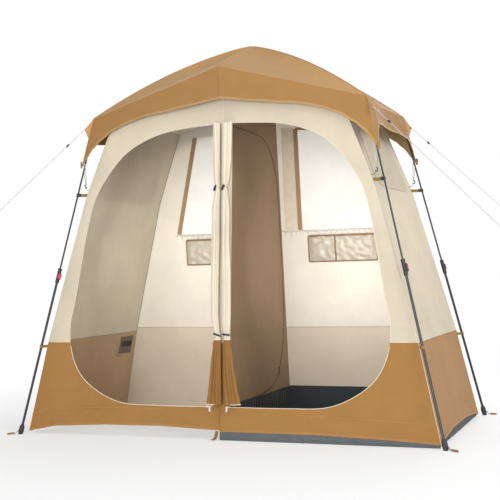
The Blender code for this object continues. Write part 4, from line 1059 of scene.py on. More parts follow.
def fly_front_column(across):
    """Eave place, hem place and bow of the front, from its middle to the corner."""
    drop = look(FRONT_HEM_SHARES, across)[0] * EAR_DROP
    eave = FLY_PEAK.lerp(EAR_CORNER, across)
    hem = Vector((eave.x + (EAR_TIP.x - EAR_CORNER.x) * across ** HEM_CURVE,
                  blend(FLY_PEAK.y, EAR_TIP.y, across), eave.z - drop))
    bow = blend(EAVE_BOW, RIDGE_BOW, across) - ROOF_SAG * math.sin(math.pi * across)
    return eave, hem, bow


def fly_side_column(along):
    """Eave place, hem place and bow of the side, from its middle to the corner."""
    drop = look(SIDE_HEM_SHARES, along)[0] * EAR_DROP
    eave = Vector((blend(FLY_SIDE_HALF_WIDTH, EAR_CORNER.x, along), EAR_CORNER.y * along,
                   FLY_CORNER_HEIGHT))
    hem = Vector((blend(FLY_SIDE_HEM_HALF_WIDTH, EAR_TIP.x, along ** 2), EAR_TIP.y * along,
                  eave.z - drop))
    bow = blend(SIDE_BOW, RIDGE_BOW, along ** 3)
    return eave, hem, bow


def roof_point(column, share):
    eave, _, bow = column
    lift = bow * 4 * share * (1 - share)
    return upwards(FLY_APEX).lerp(eave, share) + upwards(lift)


def to_corner(work, corner):
    """Carry a mesh of the front right quarter to another quarter."""
    side, end = CORNERS[corner]
    bmesh.ops.scale(work, vec=(side, -end, 1), verts=work.verts)
    return work


def at_corner(place, corner):
    side, end = CORNERS[corner]
    return Vector((side * place[0], -end * place[1], place[2]))


def roof_panel(column_at, columns, rows):
    """Panel of the roof between the middle of an eave and the ridge."""
    return weld(make_grid(columns, rows, lambda u, v: roof_point(column_at(u), v)))


VALANCE_RIPPLE = 0.004


def valance_panel(column_at, columns, rows):
    def lay(u, v):
        eave, hem, _ = column_at(u)
        place = eave.lerp(hem, v)
        ripple = VALANCE_RIPPLE * math.sin(math.pi * v) * noise.noise(Vector((u * 6, v * 2, 3.3)))
        return place + Vector((ripple, -ripple, 0))
    return make_grid(columns, rows, lay)


TAB_PLEAT = 0.0022
TAB_THICKNESS = 0.0018
EYELET_INSET = 0.006
EYELET_RADIUS = 0.0042
EYELET_WIRE = 0.0012


def guy_tab_places():
    """Corners of the triangle of webbing between the ear and the guy line, and its two ways."""
    top = ear_line(TAB_TOP_HEIGHT)
    low = ear_line(TAB_LOW_HEIGHT)
    tip = Vector((TAB_TIP.x, -TAB_TIP.y, TAB_TIP.z))
    outward = (tip - (top + low) / 2).normalized()
    return top, low, tip, outward, (top - low).cross(outward).normalized()


def lay_guy_tab():
    """Pleated triangle of fly cloth with a sewn edge."""
    top, low, tip, _, square = guy_tab_places()

    def lay(u, v):
        base = top.lerp(low, u)
        place = base.lerp(tip, v * 0.97)
        pleat = TAB_PLEAT * math.sin(math.pi * 3 * u) * (1 - v * 0.6) * min(1.0, v * 6 + 0.2)
        return place + square * pleat
    return weld(make_grid(18, 12, lay))


def lay_eyelet():
    _, _, tip, outward, square = guy_tab_places()
    place = axes_frame(tip - outward * EYELET_INSET, square, outward)
    ring = [place @ Vector((near * EYELET_RADIUS, far * EYELET_RADIUS, 0))
            for near, far in circle(20)]
    return lay_tube(ring, EYELET_WIRE, 8, closed=True)


class TENT_OT_fly(bpy.types.Operator):
    """Rain roof: four quarters with their ridges, valances, ears and guy tabs"""
    bl_idname = "tent.fly"
    bl_label = "Fly"

    def execute(self, context):
        sizes = context.scene.tent_sizes
        for corner in CORNERS:
            make_roof_quarter(corner, sizes)
            make_valances(corner, sizes)
            make_guy_tab(corner)
        return {"FINISHED"}


def make_roof_quarter(corner, sizes):
    body = "arm_" + corner
    front = roof_panel(fly_front_column, 30, 26)
    side = roof_panel(lambda u: fly_side_column(1 - u), 20, 26)
    work = to_corner(weld(joined(front, side)), corner)
    crease(work, sizes.roof_creases, BODY_CENTRE, 0.05)
    roof = make_piece(work, "fly_roof_" + corner, ["fly", "fly_inside"], body, ["fly"],
                      "roof", sizes.cloth)
    ridge = fly_front_column(1.0)
    ridge_path = [at_corner(roof_point(ridge, share) + upwards(0.0004), corner)
                  for share in shares_of(24)[1:]]
    seams = [make_line(ridge_path, sizes.piping_radius, "fly_ridge_" + corner, "fly_seam", body,
                       "roof")]
    if corner in ("front_left", "rear_right"):
        middle = fly_front_column(0.0)
        middle_path = [at_corner(roof_point(middle, share), corner) for share in shares_of(24)[1:]]
        seams.append(make_line(middle_path, 0.6 * sizes.piping_radius, "fly_middle_" + corner,
                               "fly_seam", body, "roof"))
    eave_path = [at_corner(fly_front_column(share)[0], corner) for share in shares_of(20)]
    eave_path += [at_corner(fly_side_column(1 - share)[0], corner) for share in shares_of(14)[1:]]
    seams.append(make_line(eave_path, 0.7 * sizes.piping_radius, "fly_eave_" + corner, "fly_seam",
                           body, "roof"))
    declare_sheet(roof, 1.05)
    hang([roof, *seams], "roof", corner)


def make_valances(corner, sizes):
    body = "leg_" + corner
    for way, column_at, columns in (("front", fly_front_column, 48),
                                    ("side", fly_side_column, 30)):
        work = to_corner(valance_panel(column_at, columns, 10), corner)
        face_away(work, VALANCE_CENTRE)
        # The valance wears the fly's cloth in a darker colour, which is painted shade
        panel = make_piece(work, "fly_valance_%s_%s" % (way, corner), ["fly_low_painted_shade", "fly_inside"],
                           body, ["fly"], way, sizes.cloth)
        eaves, hems = [], []
        for share in shares_of(columns):
            eave, hem, _ = column_at(share)
            eaves.append(at_corner(eave, corner))
            hems.append(at_corner(hem.lerp(eave, 0.5 * sizes.tape_width / (eave - hem).length),
                                  corner))
        normals = []
        for index, place in enumerate(hems):
            normal = ahead_at(hems, index).cross(eaves[index] - place)
            if normal.dot(place - upwards(place.z)) < 0:
                normal.negate()
            normals.append(normal.normalized())
        hem_band = make_band(hems, sizes.tape_width, normals, "fly_hem_%s_%s" % (way, corner),
                             "fly_hem", body, 0.0005)
        declare_sheet(panel, max(0.5, 2.2 * area_of(panel)))
        hang([panel, hem_band], way, corner)
    if CORNERS[corner][0] < 0:
        eave, hem, _ = fly_front_column(0.0)
        run = [at_corner(eave.lerp(hem, share) + Vector((0, -SEAM_LIFT, 0)), corner)
               for share in shares_of(6)]
        line = make_line(run, 0.0013, "fly_middle_line_" + corner, "fly_line", body,
                         sides=6)
        hang([line], "front", corner)
    tip_path = [at_corner(ear_line(blend(FLY_CORNER_HEIGHT, EAR_TIP_HEIGHT, share)), corner)
                for share in shares_of(16)]
    make_line(tip_path, 0.8 * sizes.piping_radius, "fly_ear_fold_" + corner, "fly_seam", body,
              "side")


def make_guy_tab(corner):
    body = "leg_" + corner
    work = to_corner(lay_guy_tab(), corner)
    face_away(work, VALANCE_CENTRE)
    make_piece(work, "guy_tab_" + corner, ["fly"], body, ["fly"], "side",
               TAB_THICKNESS)
    ring = to_corner(lay_eyelet(), corner)
    make_piece(turn_out(ring), "guy_eyelet_" + corner, ["eyelet"], body, (), "side")


def make_band(path, width, normals, name, finish, body, lift=SEAM_LIFT, thickness=0.0007):
    """Sewn band along an edge, with its stitches laid out along and across it."""
    work = lay_ribbon(path, width, normals, lift)
    layer = work.loops.layers.uv.verify()
    totals = [0.0]
    for before, after in zip(path, path[1:]):
        totals.append(totals[-1] + (after - before).length)
    for vert in work.verts:
        index = min(range(len(path)), key=lambda i: (path[i] - vert.co).length)
        offset = vert.co - path[index]
        normal = normals[min(index, len(normals) - 1)]
        side = ahead_at(path, index).cross(normal).dot(offset)
        for loop in vert.link_loops:
            loop[layer].uv = totals[index], 0.5 + math.copysign(offset.length / width, side)
    face_along(work, normals)
    return make_piece(work, name, [finish], body, (), None, thickness, lift_out=True)


def face_along(work, normals):
    """Turn a band so that its faces look the way of its normals."""
    work.normal_update()
    wanted = sum(normals, Vector())
    total = sum((face.normal * face.calc_area() for face in work.faces), Vector())
    if total.dot(wanted) < 0:
        bmesh.ops.reverse_faces(work, faces=work.faces)
    return work


# Walls

EDGE_HEIGHTS = (0.15, 0.31, SEAM_HEIGHT, 0.66, 0.85, 1.04, 1.232, 1.36, 1.50, TOP_HEIGHT)
LEFT_DOOR_INSET = 0.010


def wall_outline(hem):
    """Half of an end wall, from the middle of its hem round to its peak."""
    points = [(half_width(0.0) * share, height) for share, height in hem]
    points[-1] = (half_width(points[-1][1]), points[-1][1])
    points += [(half_width(height), height) for height in EDGE_HEIGHTS]
    points.append((0.0, PEAK_HEIGHT))
    return points


def mirrored(outline, side):
    points = [(side * x, z) for x, z in outline]
    return points if side > 0 else points[::-1]


def door_outline(side):
    """Doorway from its top corner at the pillar round to its bottom corner."""
    near = PILLAR_HALF_WIDTH - (LEFT_DOOR_INSET if side < 0 else 0.0)
    rows = ((across, blend(DOOR_BOTTOM, DOOR_TOP, up)) for across, up in DOOR_EDGE_SHARES)
    points = [(blend(near, half_width(height), across), height) for across, height in rows]
    return [(side * x, z) for x, z in smooth_run(points, 6)]


def on_front(x, z, out=0.0):
    return Vector((x, -half_depth(z) - out, z))


def on_back(x, z, out=0.0):
    return Vector((x, half_depth(z) + out, z))


FRONT_NORMAL = Vector((0, -1, WALL_LEAN)).normalized()
BACK_NORMAL = Vector((0, 1, WALL_LEAN)).normalized()
HEMS = {
    "left": ((0.0, 0.047), (0.30, 0.060), (0.59, 0.057), (0.85, 0.043), (1.0, 0.013)),
    "right": ((0.0, 0.041), (0.30, 0.041), (0.48, 0.040), (0.82, 0.027), (1.0, 0.015)),
}
SIDES = {"left": -1, "right": 1}


def make_wall(upper, lower, names, insides, nodes, body, way, cloth):
    """Upper wall and skirt of one part of the body, with their outsides and insides."""
    return [make_piece(work, name, [outside, inside], body, [node], way, cloth)
            for work, name, outside, inside, node
            in zip((upper, lower), names, ("wall", "skirt"), insides, nodes)]


def hem_and_tuck(places_at, sizes, normal, label, body):
    """Hem of a skirt and the tuck above it, along places that a function of height gives."""
    return [make_band(places_at(sizes.tape_width * 0.5), sizes.tape_width, [normal],
                      label % "hem", "skirt_hem", body),
            make_band(places_at(TUCK_HEIGHT), TUCK_WIDTH, [normal], label % "tuck", "skirt_hem",
                      body, 0.0003, 0.0006)]


def split_at(work, height, gap=0.0003):
    """Upper and lower part of a wall, cut along its seam."""
    lower = work.copy()
    cut(work, (0, 0, height + gap), UP, clear_inner=True)
    cut(lower, (0, 0, height - gap), UP, clear_outer=True)
    return work, lower


class TENT_OT_front_wall(bpy.types.Operator):
    """Front wall of two halves with their doorways, skirts, seams and piping"""
    bl_idname = "tent.front_wall"
    bl_label = "Front wall"

    def execute(self, context):
        sizes = context.scene.tent_sizes
        for name, side in SIDES.items():
            make_front_half(name, side, sizes)
        return {"FINISHED"}


def make_front_half(name, side, sizes):
    corner = "front_" + name
    body = "leg_" + corner
    outer = mirrored(wall_outline(HEMS[name]), side)
    inner = door_outline(side)
    work = ring_panel(outer, inner, 16, on_front)
    crease(work, sizes.wall_creases, BODY_CENTRE, 0.03)
    upper, lower = split_at(work, SEAM_HEIGHT)
    wall, skirt = make_wall(
        upper, lower, ("front_wall_" + name, "front_skirt_cloth_" + name),
        ("wall_inside", "skirt_inside"), ("front_upper_" + name, "front_skirt_" + name), body,
        "front", sizes.cloth)
    seam_start = door_edge_at(side, SEAM_HEIGHT)
    seam = [on_front(blend(seam_start, side * half_width(SEAM_HEIGHT), share), SEAM_HEIGHT,
                     SEAM_LIFT) for share in shares_of(8)]
    lower_trim = [make_line(
        seam, 0.0010, "front_seam_" + name, "skirt", body, sides=6)]
    curve = [on_front(x, z, 0.0008) for x, z in inner]
    low_part = [place for place in curve if place.z < SEAM_HEIGHT]
    high_part = [place for place in curve if place.z >= SEAM_HEIGHT]
    lower_trim.append(make_line(
        low_part, sizes.piping_radius * 1.1, "door_piping_" + name, "piping", body))
    upper_trim = [make_line(
        high_part, sizes.piping_radius * 0.9, "door_edge_" + name, "wall_seam", body)]
    if side < 0:
        low_line = [on_front(0, blend(0.047, DOOR_BOTTOM, share), SEAM_LIFT)
                    for share in shares_of(4)]
        high_line = [on_front(0, blend(DOOR_TOP, PEAK_HEIGHT - 0.01, share), SEAM_LIFT)
                     for share in shares_of(6)]
        lower_trim.append(make_line(
            low_line, 0.0014, "front_low_middle", "skirt_seam", body, sides=6))
        upper_trim.append(make_line(
            high_line, 0.0011, "front_high_middle", "wall_seam", body, sides=6))
    lower_trim += hem_and_tuck(
        lambda up: [on_front(x, z) for x, z in hem_places(name, side, up)], sizes, FRONT_NORMAL,
        "front_%s_" + name, body)
    declare_sheet(wall, 1.2)
    declare_sheet(skirt, 1.1)
    hang([wall, skirt, *upper_trim, *lower_trim], "front", corner)


def door_edge_at(side, height):
    """Width at which the doorway's outer edge crosses a height."""
    outline = door_outline(side)
    crossings = []
    for (x, z), (other_x, other_z) in zip(outline, outline[1:]):
        if (z - height) * (other_z - height) <= 0 and z != other_z:
            crossings.append(blend(x, other_x, (height - z) / (other_z - z)))
    return side * max(side * place for place in crossings)


def hem_places(name, side, up):
    """Places along a front hem, a little way above its edge."""
    points = smooth_run([(half_width(0.03) * share, height + up)
                         for share, height in HEMS[name]], 6)
    points[-1] = (half_width(points[-1][1]), points[-1][1])
    return [(side * x, z) for x, z in points]


class TENT_OT_back_wall(bpy.types.Operator):
    """Back wall with light window panels, their binding, the gather line and the skirts"""
    bl_idname = "tent.back_wall"
    bl_label = "Back wall"

    def execute(self, context):
        sizes = context.scene.tent_sizes
        for name, side in SIDES.items():
            make_back_half(name, side, sizes)
        return {"FINISHED"}


WINDOW_CORNERS = ((0.112, 1.048), (0.650, 1.048), (0.512, 1.613), (0.112, 1.622))
WINDOW_SAG = 0.006
BINDING_WIDTHS = (0.027, 0.027, 0.016, 0.027)
POST_WIDTH = 0.070
POST_THICKNESS = 0.0012


def make_back_half(name, side, sizes):
    corner = "rear_" + name
    body = "leg_" + corner
    hem = ((0.0, 0.012), (0.35, 0.011), (0.7, 0.010), (1.0, 0.010))
    outer = mirrored(wall_outline(hem), side)
    window = [(side * x, z) for x, z in WINDOW_CORNERS]
    work = ring_panel(outer, window, 12, on_back)
    crease(work, 0.5 * sizes.wall_creases, BODY_CENTRE, 0.03)
    upper, lower = split_at(work, BACK_SEAM_HEIGHT)
    wall, skirt = make_wall(
        upper, lower, ("back_wall_" + name, "back_skirt_cloth_" + name),
        ("back_inside", "skirt_inside"), ("back_upper", "back_skirt"), body, "front", sizes.cloth)

    def lay(u, v):
        low = Vector(window[0]).lerp(Vector(window[1]), u)
        high = Vector(window[3]).lerp(Vector(window[2]), u)
        place = low.lerp(high, v)
        sag = WINDOW_SAG * math.sin(math.pi * u) * math.sin(math.pi * v)
        return on_back(place.x, place.y, SEAM_LIFT + sag)

    pane_work = make_grid(30, 30, lay)
    crease(pane_work, 0.6 * sizes.wall_creases, BODY_CENTRE, 0.05)
    pane = make_piece(pane_work, "window_" + name, ["window"], body, ["back_upper"],
                      "front", sizes.cloth)
    trim = []
    for index, (start, end) in enumerate(zip(window, window[1:] + window[:1])):
        if index == 0 or (index == 2 and side < 0) or (index == 1 and side > 0):
            continue
        run = [on_back(blend(start[0], end[0], share), blend(start[1], end[1], share),
                       -SEAM_LIFT) for share in shares_of(10)]
        trim.append(make_band(run, BINDING_WIDTHS[index], [-BACK_NORMAL],
                              "window_binding_%s_%d" % (name, index), "binding_band", body))
    post = [on_back(side * blend(0.064, 0.060, share), blend(1.630, 1.052, share),
                    -0.0022 - 0.004 * math.sin(math.pi * share)) for share in shares_of(20)]
    trim.append(make_band(post, POST_WIDTH, [-BACK_NORMAL], "window_post_" + name, "post_band",
                          body, thickness=POST_THICKNESS))
    trim.append(gather_line(name, side, body))
    declare_sheet(wall, 1.3)
    declare_sheet(skirt, 1.1)
    declare_sheet(pane, 0.6)
    seam = [on_back(side * blend(0.0, half_width(BACK_SEAM_HEIGHT) - 0.002, share),
                    BACK_SEAM_HEIGHT, -0.0016) for share in shares_of(8)]
    line = make_line(seam, 0.0012, "back_seam_" + name, "binding", body, sides=6)
    hang([wall, skirt, pane, line, *trim], "front", corner)


def gather_line(name, side, body):
    """Row of small gathers where the window panel is rolled down to the wall."""
    path = []
    for step in range(181):
        x = side * blend(0.004, 0.675, step / 180)
        z = 1.040 + 0.0035 * math.sin(step * 1.9) + 0.0025 * math.sin(step * 0.77)
        out = -0.0050 - 0.0025 * math.sin(step * 1.3)
        path.append(on_back(x, z, out))
    scale = [0.85 + 0.4 * math.sin(step * 2.3) for step in range(181)]
    gathers = []
    for step in range(6, 176, 9):
        low = path[step] + Vector((0.004 * math.sin(step), 0.001,
                                   -0.030 - 0.012 * math.sin(step * 1.7)))
        run = [path[step].lerp(low, part / 6) for part in range(7)]
        gathers.append(lay_tube(run, 0.0040, 6, scale=[1.0, 0.9, 0.75, 0.55, 0.4, 0.25, 0.12]))
    # Its darker finish is painted shade of the rolled cloth, which is the back wall's own
    return make_piece(joined(lay_tube(path, 0.0044, 8, scale=scale), *gathers),
                      "window_gather_" + name, ["gather"], body, ())


class TENT_OT_side_walls(bpy.types.Operator):
    """Side walls and skirts, with the hose port in the left one"""
    bl_idname = "tent.side_walls"
    bl_label = "Side walls"

    def execute(self, context):
        sizes = context.scene.tent_sizes
        for corner in CORNERS:
            make_side_quarter(corner, sizes)
        make_hose_port()
        return {"FINISHED"}


def side_inner_depth(height):
    return half_depth(height) - 0.0019


SIDE_HEM = ((0.0, 0.043), (0.3, 0.043), (0.7, 0.030), (1.0, 0.013))


def side_place(corner, along, height):
    """Place on a side wall, by its share from the middle to a corner."""
    side, end = CORNERS[corner]
    belly = -0.006 * math.sin(math.pi * min(1.0, max(0.0, (height - 0.02) / 1.62)))
    belly *= 1 - along ** 2
    return Vector((side * (half_width(height) + belly), end * side_inner_depth(height) * along,
                   height))


def make_side_quarter(corner, sizes):
    side_name = corner.split("_")[1]
    body = "leg_" + corner

    def lay_upper(u, v):
        return side_place(corner, u, blend(SEAM_HEIGHT + 0.0003, TOP_HEIGHT, v))

    def lay_lower(u, v):
        low = look(SIDE_HEM, u)[0]
        return side_place(corner, u, blend(low, SEAM_HEIGHT - 0.0003, v))

    upper = make_grid(24, 48, lay_upper)
    lower = make_grid(24, 20, lay_lower)
    if corner == "rear_left":
        cut_port(lower)
    sign = CORNERS[corner][0]
    for work in (upper, lower):
        crease(work, sizes.wall_creases * 0.8, BODY_CENTRE, 0.03, Vector((sign, 0, 0)))
    wall, skirt = make_wall(
        upper, lower, ("side_wall_" + corner, "side_skirt_cloth_" + corner),
        ("side_inside", "side_skirt_inside"),
        ("side_upper_" + side_name, "side_skirt_" + side_name), body, "side", sizes.cloth)
    seam = [side_place(corner, share, SEAM_HEIGHT) for share in shares_of(10)]
    line = make_line(seam, 0.0011, "side_seam_" + corner, "skirt", body, "side",
                     sides=6)
    edge = [side_place(corner, 1.0, blend(0.014, TOP_HEIGHT, share)) for share in shares_of(30)]
    corner_seam = make_line(
        edge, 0.0016, "corner_seam_" + corner, "wall_seam", body, "side")
    hems = hem_and_tuck(lambda up: [side_place(corner, share, look(SIDE_HEM, share)[0] + up)
                                    for share in shares_of(14)],
                        sizes, Vector((sign, 0, 0.2)).normalized(), "side_%s_" + corner, body)
    inwards = Vector((-sign * 0.0026, -CORNERS[corner][1] * 0.0026, 0))
    inner_edge = [side_place(corner, 1.0, blend(0.014, TOP_HEIGHT - 0.01, share)) + inwards
                  for share in shares_of(30)]
    inner_seam = make_line(
        inner_edge, 0.0018, "inner_seam_" + corner, "inner_seam", body, "side")
    inner_line = make_line(
        [place + Vector((-sign * 0.002, 0, 0)) for place in seam], 0.0012, "inner_line_" + corner,
        "inner_seam", body, "side", sides=6)
    make_side_vent(corner, sizes)
    declare_sheet(wall, 1.2)
    declare_sheet(skirt, 0.56)
    hang([wall, skirt, line, corner_seam, *hems, inner_seam, inner_line], "side", corner)


VENT_LOW = 1.222
VENT_HIGH = 1.610


def make_side_vent(corner, sizes):
    """Light cover at the top of a side wall, with its rounded lower corner bound by a tape."""
    sign = CORNERS[corner][0]
    body = "leg_" + corner

    def lay(u, v):
        """Place on the cover, which ends nearer to the wall's middle the higher it is."""
        along = u * (0.80 - 0.16 * v)
        rounding = 0.050 * max(0.0, (u - 0.72) / 0.28) ** 2
        z = blend(VENT_LOW + rounding, VENT_HIGH, v)
        puff = 0.0016 + 0.0030 * math.sin(math.pi * v) * (1 - u ** 4)
        return side_place(corner, along, z) + Vector((sign * (puff + 0.0030), 0, 0))

    work = make_grid(20, 24, lay)
    face_away(work, BODY_CENTRE)
    vent = make_piece(work, "side_vent_" + corner, ["vent"], body,
                      ["side_upper_" + corner.split("_")[1]], "side", sizes.cloth)
    run = [lay(share, 0.0) for share in shares_of(12)]
    run += [lay(1.0, share) for share in shares_of(14)[1:]]
    band = make_line(run, 0.0013, "side_vent_edge_" + corner, "wall_seam", body,
                     "side", sides=6)
    declare_sheet(vent, 0.42)
    hang([vent, band], "side", corner)


PORT_MIDDLE = Vector((0, 0.390, 0.400))
PORT_HALF_LENGTH = 0.065
PORT_HALF_HEIGHT = 0.017
PORT_LAP = 0.012
PORT_PATCH = ((0.292, 0.330), (0.292, 0.458), (0.478, 0.458), (0.478, 0.330))


def cut_port(work):
    """Open the skirt where the port's patch covers it."""
    low_y, low_z = (min(pair) + PORT_LAP for pair in zip(*PORT_PATCH))
    high_y, high_z = (max(pair) - PORT_LAP for pair in zip(*PORT_PATCH))
    for place, normal in (((0, low_y, 0), (0, 1, 0)), ((0, high_y, 0), (0, 1, 0)),
                          ((0, 0, low_z), UP), ((0, 0, high_z), UP)):
        cut(work, place, normal)
    middles = [(face, face.calc_center_median()) for face in work.faces]
    gone = [face for face, middle in middles
            if low_y < middle.y < high_y and low_z < middle.z < high_z]
    bmesh.ops.delete(work, geom=gone, context="FACES")


def make_hose_port():
    """Doubled patch round the slot that a hose goes through, with a stitched lip."""
    corner = "rear_left"
    body = "leg_" + corner
    reach = PORT_HALF_LENGTH - PORT_HALF_HEIGHT
    slot = []
    for near, far in circle(32):
        middle = PORT_MIDDLE.y + math.copysign(reach, near)
        slot.append((middle + PORT_HALF_HEIGHT * near, PORT_MIDDLE.z + PORT_HALF_HEIGHT * far))

    def place_at(y, z):
        share = min(1.0, max(0.0, y / side_inner_depth(z)))
        return side_place(corner, share, z) + Vector((-0.0012, 0, 0))

    work = ring_panel(PORT_PATCH, slot, 6, place_at)
    face_away(work, BODY_CENTRE)
    patch = make_piece(
        work, "hose_port_patch", ["port"], body, ["side_skirt_left"], "side", 0.0016)
    lip = [place_at(y, z) for y, z in slot]
    flap = make_grid(12, 6, lambda u, v: place_at(blend(0.312, 0.466, u), blend(0.374, 0.426, v))
                     + Vector((-0.0050 - 0.003 * math.sin(math.pi * u), 0, 0)))
    face_away(flap, BODY_CENTRE)
    cover = make_piece(
        flap, "hose_port_flap", ["port_flap"], body, (), "side", 0.0010)
    ring = make_line(lip, 0.0016, "hose_port_lip", "dark_cord", body, "side",
                     closed=True)
    declare_sheet(patch, 0.19)
    declare_sheet(cover, 0.16)
    hang([patch, ring, cover], "side", corner)


# Roof lining of the body

class TENT_OT_ceiling(bpy.types.Operator):
    """Light ceiling of the body under the arms"""
    bl_idname = "tent.ceiling"
    bl_label = "Ceiling"

    def execute(self, context):
        sizes = context.scene.tent_sizes
        for corner in CORNERS:
            make_ceiling_quarter(corner, sizes)
        return {"FINISHED"}


def ceiling_rim(across):
    """Rim of the front right quarter: from the front's middle to the corner, then the side."""
    width = half_width(TOP_HEIGHT) - 0.0026
    peak = Vector((0, -(half_depth(PEAK_HEIGHT) - 0.0024), PEAK_HEIGHT))
    corner = Vector((width, -(half_depth(TOP_HEIGHT) - 0.0024), TOP_HEIGHT))
    side = Vector((width, 0, TOP_HEIGHT))
    if across < 0.6:
        return peak.lerp(corner, across / 0.6)
    return corner.lerp(side, (across - 0.6) / 0.4)


def make_ceiling_quarter(corner, sizes):
    top = upwards(CEILING_HEIGHT)

    def lay(u, v):
        place = top.lerp(ceiling_rim(u), v)
        return place - upwards(0.006 * math.sin(math.pi * v))

    work = to_corner(weld(make_grid(40, 20, lay)), corner)
    crease(work, 0.5 * sizes.roof_creases, BODY_CENTRE, 0.05)
    piece = make_piece(work, "ceiling_" + corner, ["wall", "wall_inside"], "arm_" + corner,
                       ["ceiling"], "roof", sizes.cloth)
    declare_sheet(piece, 0.75)
    hang([piece], "roof", corner)


# Partition

def inner_door_outline():
    rows = ((along, blend(INNER_DOOR_BOTTOM, INNER_DOOR_TOP, up))
            for along, up in INNER_DOOR_SHARES)
    return smooth_run([(blend(INNER_DOOR_HINGE, half_depth(height), along), height)
                       for along, height in rows], 5)


def on_partition(y, z):
    return Vector((0, y, z))


class TENT_OT_partition(bpy.types.Operator):
    """Cloth between the rooms, with its D shaped zipped door"""
    bl_idname = "tent.partition"
    bl_label = "Partition"

    def execute(self, context):
        sizes = context.scene.tent_sizes
        make_partition(sizes)
        make_inner_door(sizes)
        return {"FINISHED"}


def partition_outline():
    low = half_depth(0.02) - 0.004
    drop = 0.008
    high_y = half_depth(PEAK_HEIGHT) - 0.004
    return [(-low, 0.020), (low, 0.020), (high_y, PEAK_HEIGHT - drop),
            (0.0, CEILING_HEIGHT - drop), (-high_y, PEAK_HEIGHT - drop)]


def make_partition(sizes):
    inner = inner_door_outline()
    work = ring_panel(partition_outline(), inner, 10, on_partition)
    crease(work, 0.5 * sizes.wall_creases, LEFT_OF_BODY, 0.03)
    curved = lay_tube([on_partition(y, z) for y, z in inner], 0.0034, 8)
    front = -half_depth(PARTITION_SEAM_HEIGHT) + 0.006
    seam = [Vector((0.0008, blend(INNER_DOOR_HINGE, front, share), PARTITION_SEAM_HEIGHT))
            for share in shares_of(6)]
    band = make_band(seam, 0.008, [Vector((1, 0, 0))], "partition_seam", "partition_band",
                     "eave_front", 0.0004)
    hang([band], "eave_front")
    for end_name, end in (("front", -1), ("rear", 1)):
        half, half_zip = work.copy(), curved.copy()
        cut(half, (0, 0, 0), (0, end, 0), clear_inner=True)
        cut(half_zip, (0, 0, 0), (0, end, 0), clear_inner=True)
        wall = make_piece(half, "partition_" + end_name, ["partition"], "eave_" + end_name,
                          ["partition"], "side", sizes.cloth)
        zip_line = make_piece(half_zip, "partition_zip_" + end_name, ["partition_zip"],
                              "eave_" + end_name, (), "side")
        declare_sheet(wall, 1.8)
        hang([wall, zip_line], "eave_" + end_name)
    work.free()
    curved.free()


def make_inner_door(sizes):
    middle = Vector((0.15, 0.85))
    offsets = [Vector(place) - middle for place in inner_door_outline()]
    shrunk = [middle + offset * (1 - 0.0022 / offset.length) for offset in offsets]

    def lay(u, v):
        index = u * (len(shrunk) - 1)
        low = min(int(index), len(shrunk) - 2)
        edge = shrunk[low].lerp(shrunk[low + 1], index - low)
        hinge = Vector((INNER_DOOR_HINGE + 0.0011, blend(INNER_DOOR_TOP, INNER_DOOR_BOTTOM, u)))
        place = hinge.lerp(edge, v)
        return on_partition(place.x, place.y)

    work = weld(make_grid(len(shrunk) - 1, 26, lay))
    crease(work, sizes.wall_creases, LEFT_OF_BODY, 0.04)
    start, end = INNER_DOOR_HINGE + 0.006, 0.955 * half_depth(PARTITION_SEAM_HEIGHT) - 0.02
    seam = [Vector((0.0008, blend(start, end, share), PARTITION_SEAM_HEIGHT))
            for share in shares_of(12)]
    band = lay_ribbon(seam, 0.008, [Vector((1, 0, 0))], 0.0018)
    apex = INNER_DOOR_APEX
    bounds = [Vector((0, math.cos(math.radians(turn)), math.sin(math.radians(turn))))
              for turn in (95, -2, -12, -21, -30, -38, -46, -53, -59, -65, -71, -77, -83, -110)]
    for label, sheet, finish, nodes, thickness in (
            ("door", work, "partition", ["partition_door"], sizes.cloth),
            ("tape", band, "partition_band", (), None)):
        for number, (part, heading) in enumerate(fan(sheet, apex, Vector((-1, 0, 0)), bounds)):
            piece = make_piece(part, "partition_%s_%d" % (label, number), [finish], "inner_door",
                               nodes, "side", thickness)
            draw_in(piece)
            if nodes:
                declare_sheet(piece, 1.2)
    slider = lay_block((0.006, 0.012, 0.009), 0.0015, Matrix.Translation((0.004, 0.330, 0.270)))
    tag = lay_tube([(0.006, 0.330, 0.266), (0.008, 0.332, 0.248), (0.007, 0.331, 0.228)], 0.0014)
    pull = make_piece(joined(slider, tag), "partition_slider", ["plastic"], "inner_door", (),
                      "side")
    draw_in(pull)


# Gathered doors

BUNDLES = {"left": LEFT_BUNDLE_SHARES, "right": RIGHT_BUNDLE_SHARES}
TIE_SHARES = (0.768, 0.248)


class TENT_OT_gathered_doors(bpy.types.Operator):
    """Door cloth gathered to the pillar, with its ties, toggles and zip ends"""
    bl_idname = "tent.gathered_doors"
    bl_label = "Gathered doors"

    def execute(self, context):
        sizes = context.scene.tent_sizes
        for name, shares in BUNDLES.items():
            make_gathered_door(name, shares, sizes)
        return {"FINISHED"}


# Valleys of the roll by angle in degrees, share of its radius and half width in degrees
UPPER_VALLEYS = ((-132, 0.30, 14), (-80, 0.50, 14), (-30, 0.34, 15), (60, 0.15, 20))
LOWER_VALLEYS = ((-146, 0.52, 13), (-108, 0.72, 13), (-70, 0.66, 12), (-32, 0.50, 13),
                 (60, 0.2, 20))


def roll_radius(angle, up, lower, seed):
    """Radius share of the rolled cloth at an angle, with soft valleys between its folds."""
    share = 1.0
    for number, (middle, depth, half) in enumerate(LOWER_VALLEYS if lower else UPPER_VALLEYS):
        drift = noise.noise(Vector((number * 3.7 + seed, up * 2.6, 0.5))) * 22
        off = math.degrees(angle) - middle - drift
        off = (off + 180) % 360 - 180
        deep = depth * (0.75 + 0.5 * noise.noise(Vector((seed, up * 4.0, number * 2.1))))
        if lower:
            deep *= min(1.0, 0.5 + (0.25 - up) * 4)
        share -= deep * math.exp(-(off / half) ** 2)
    return share


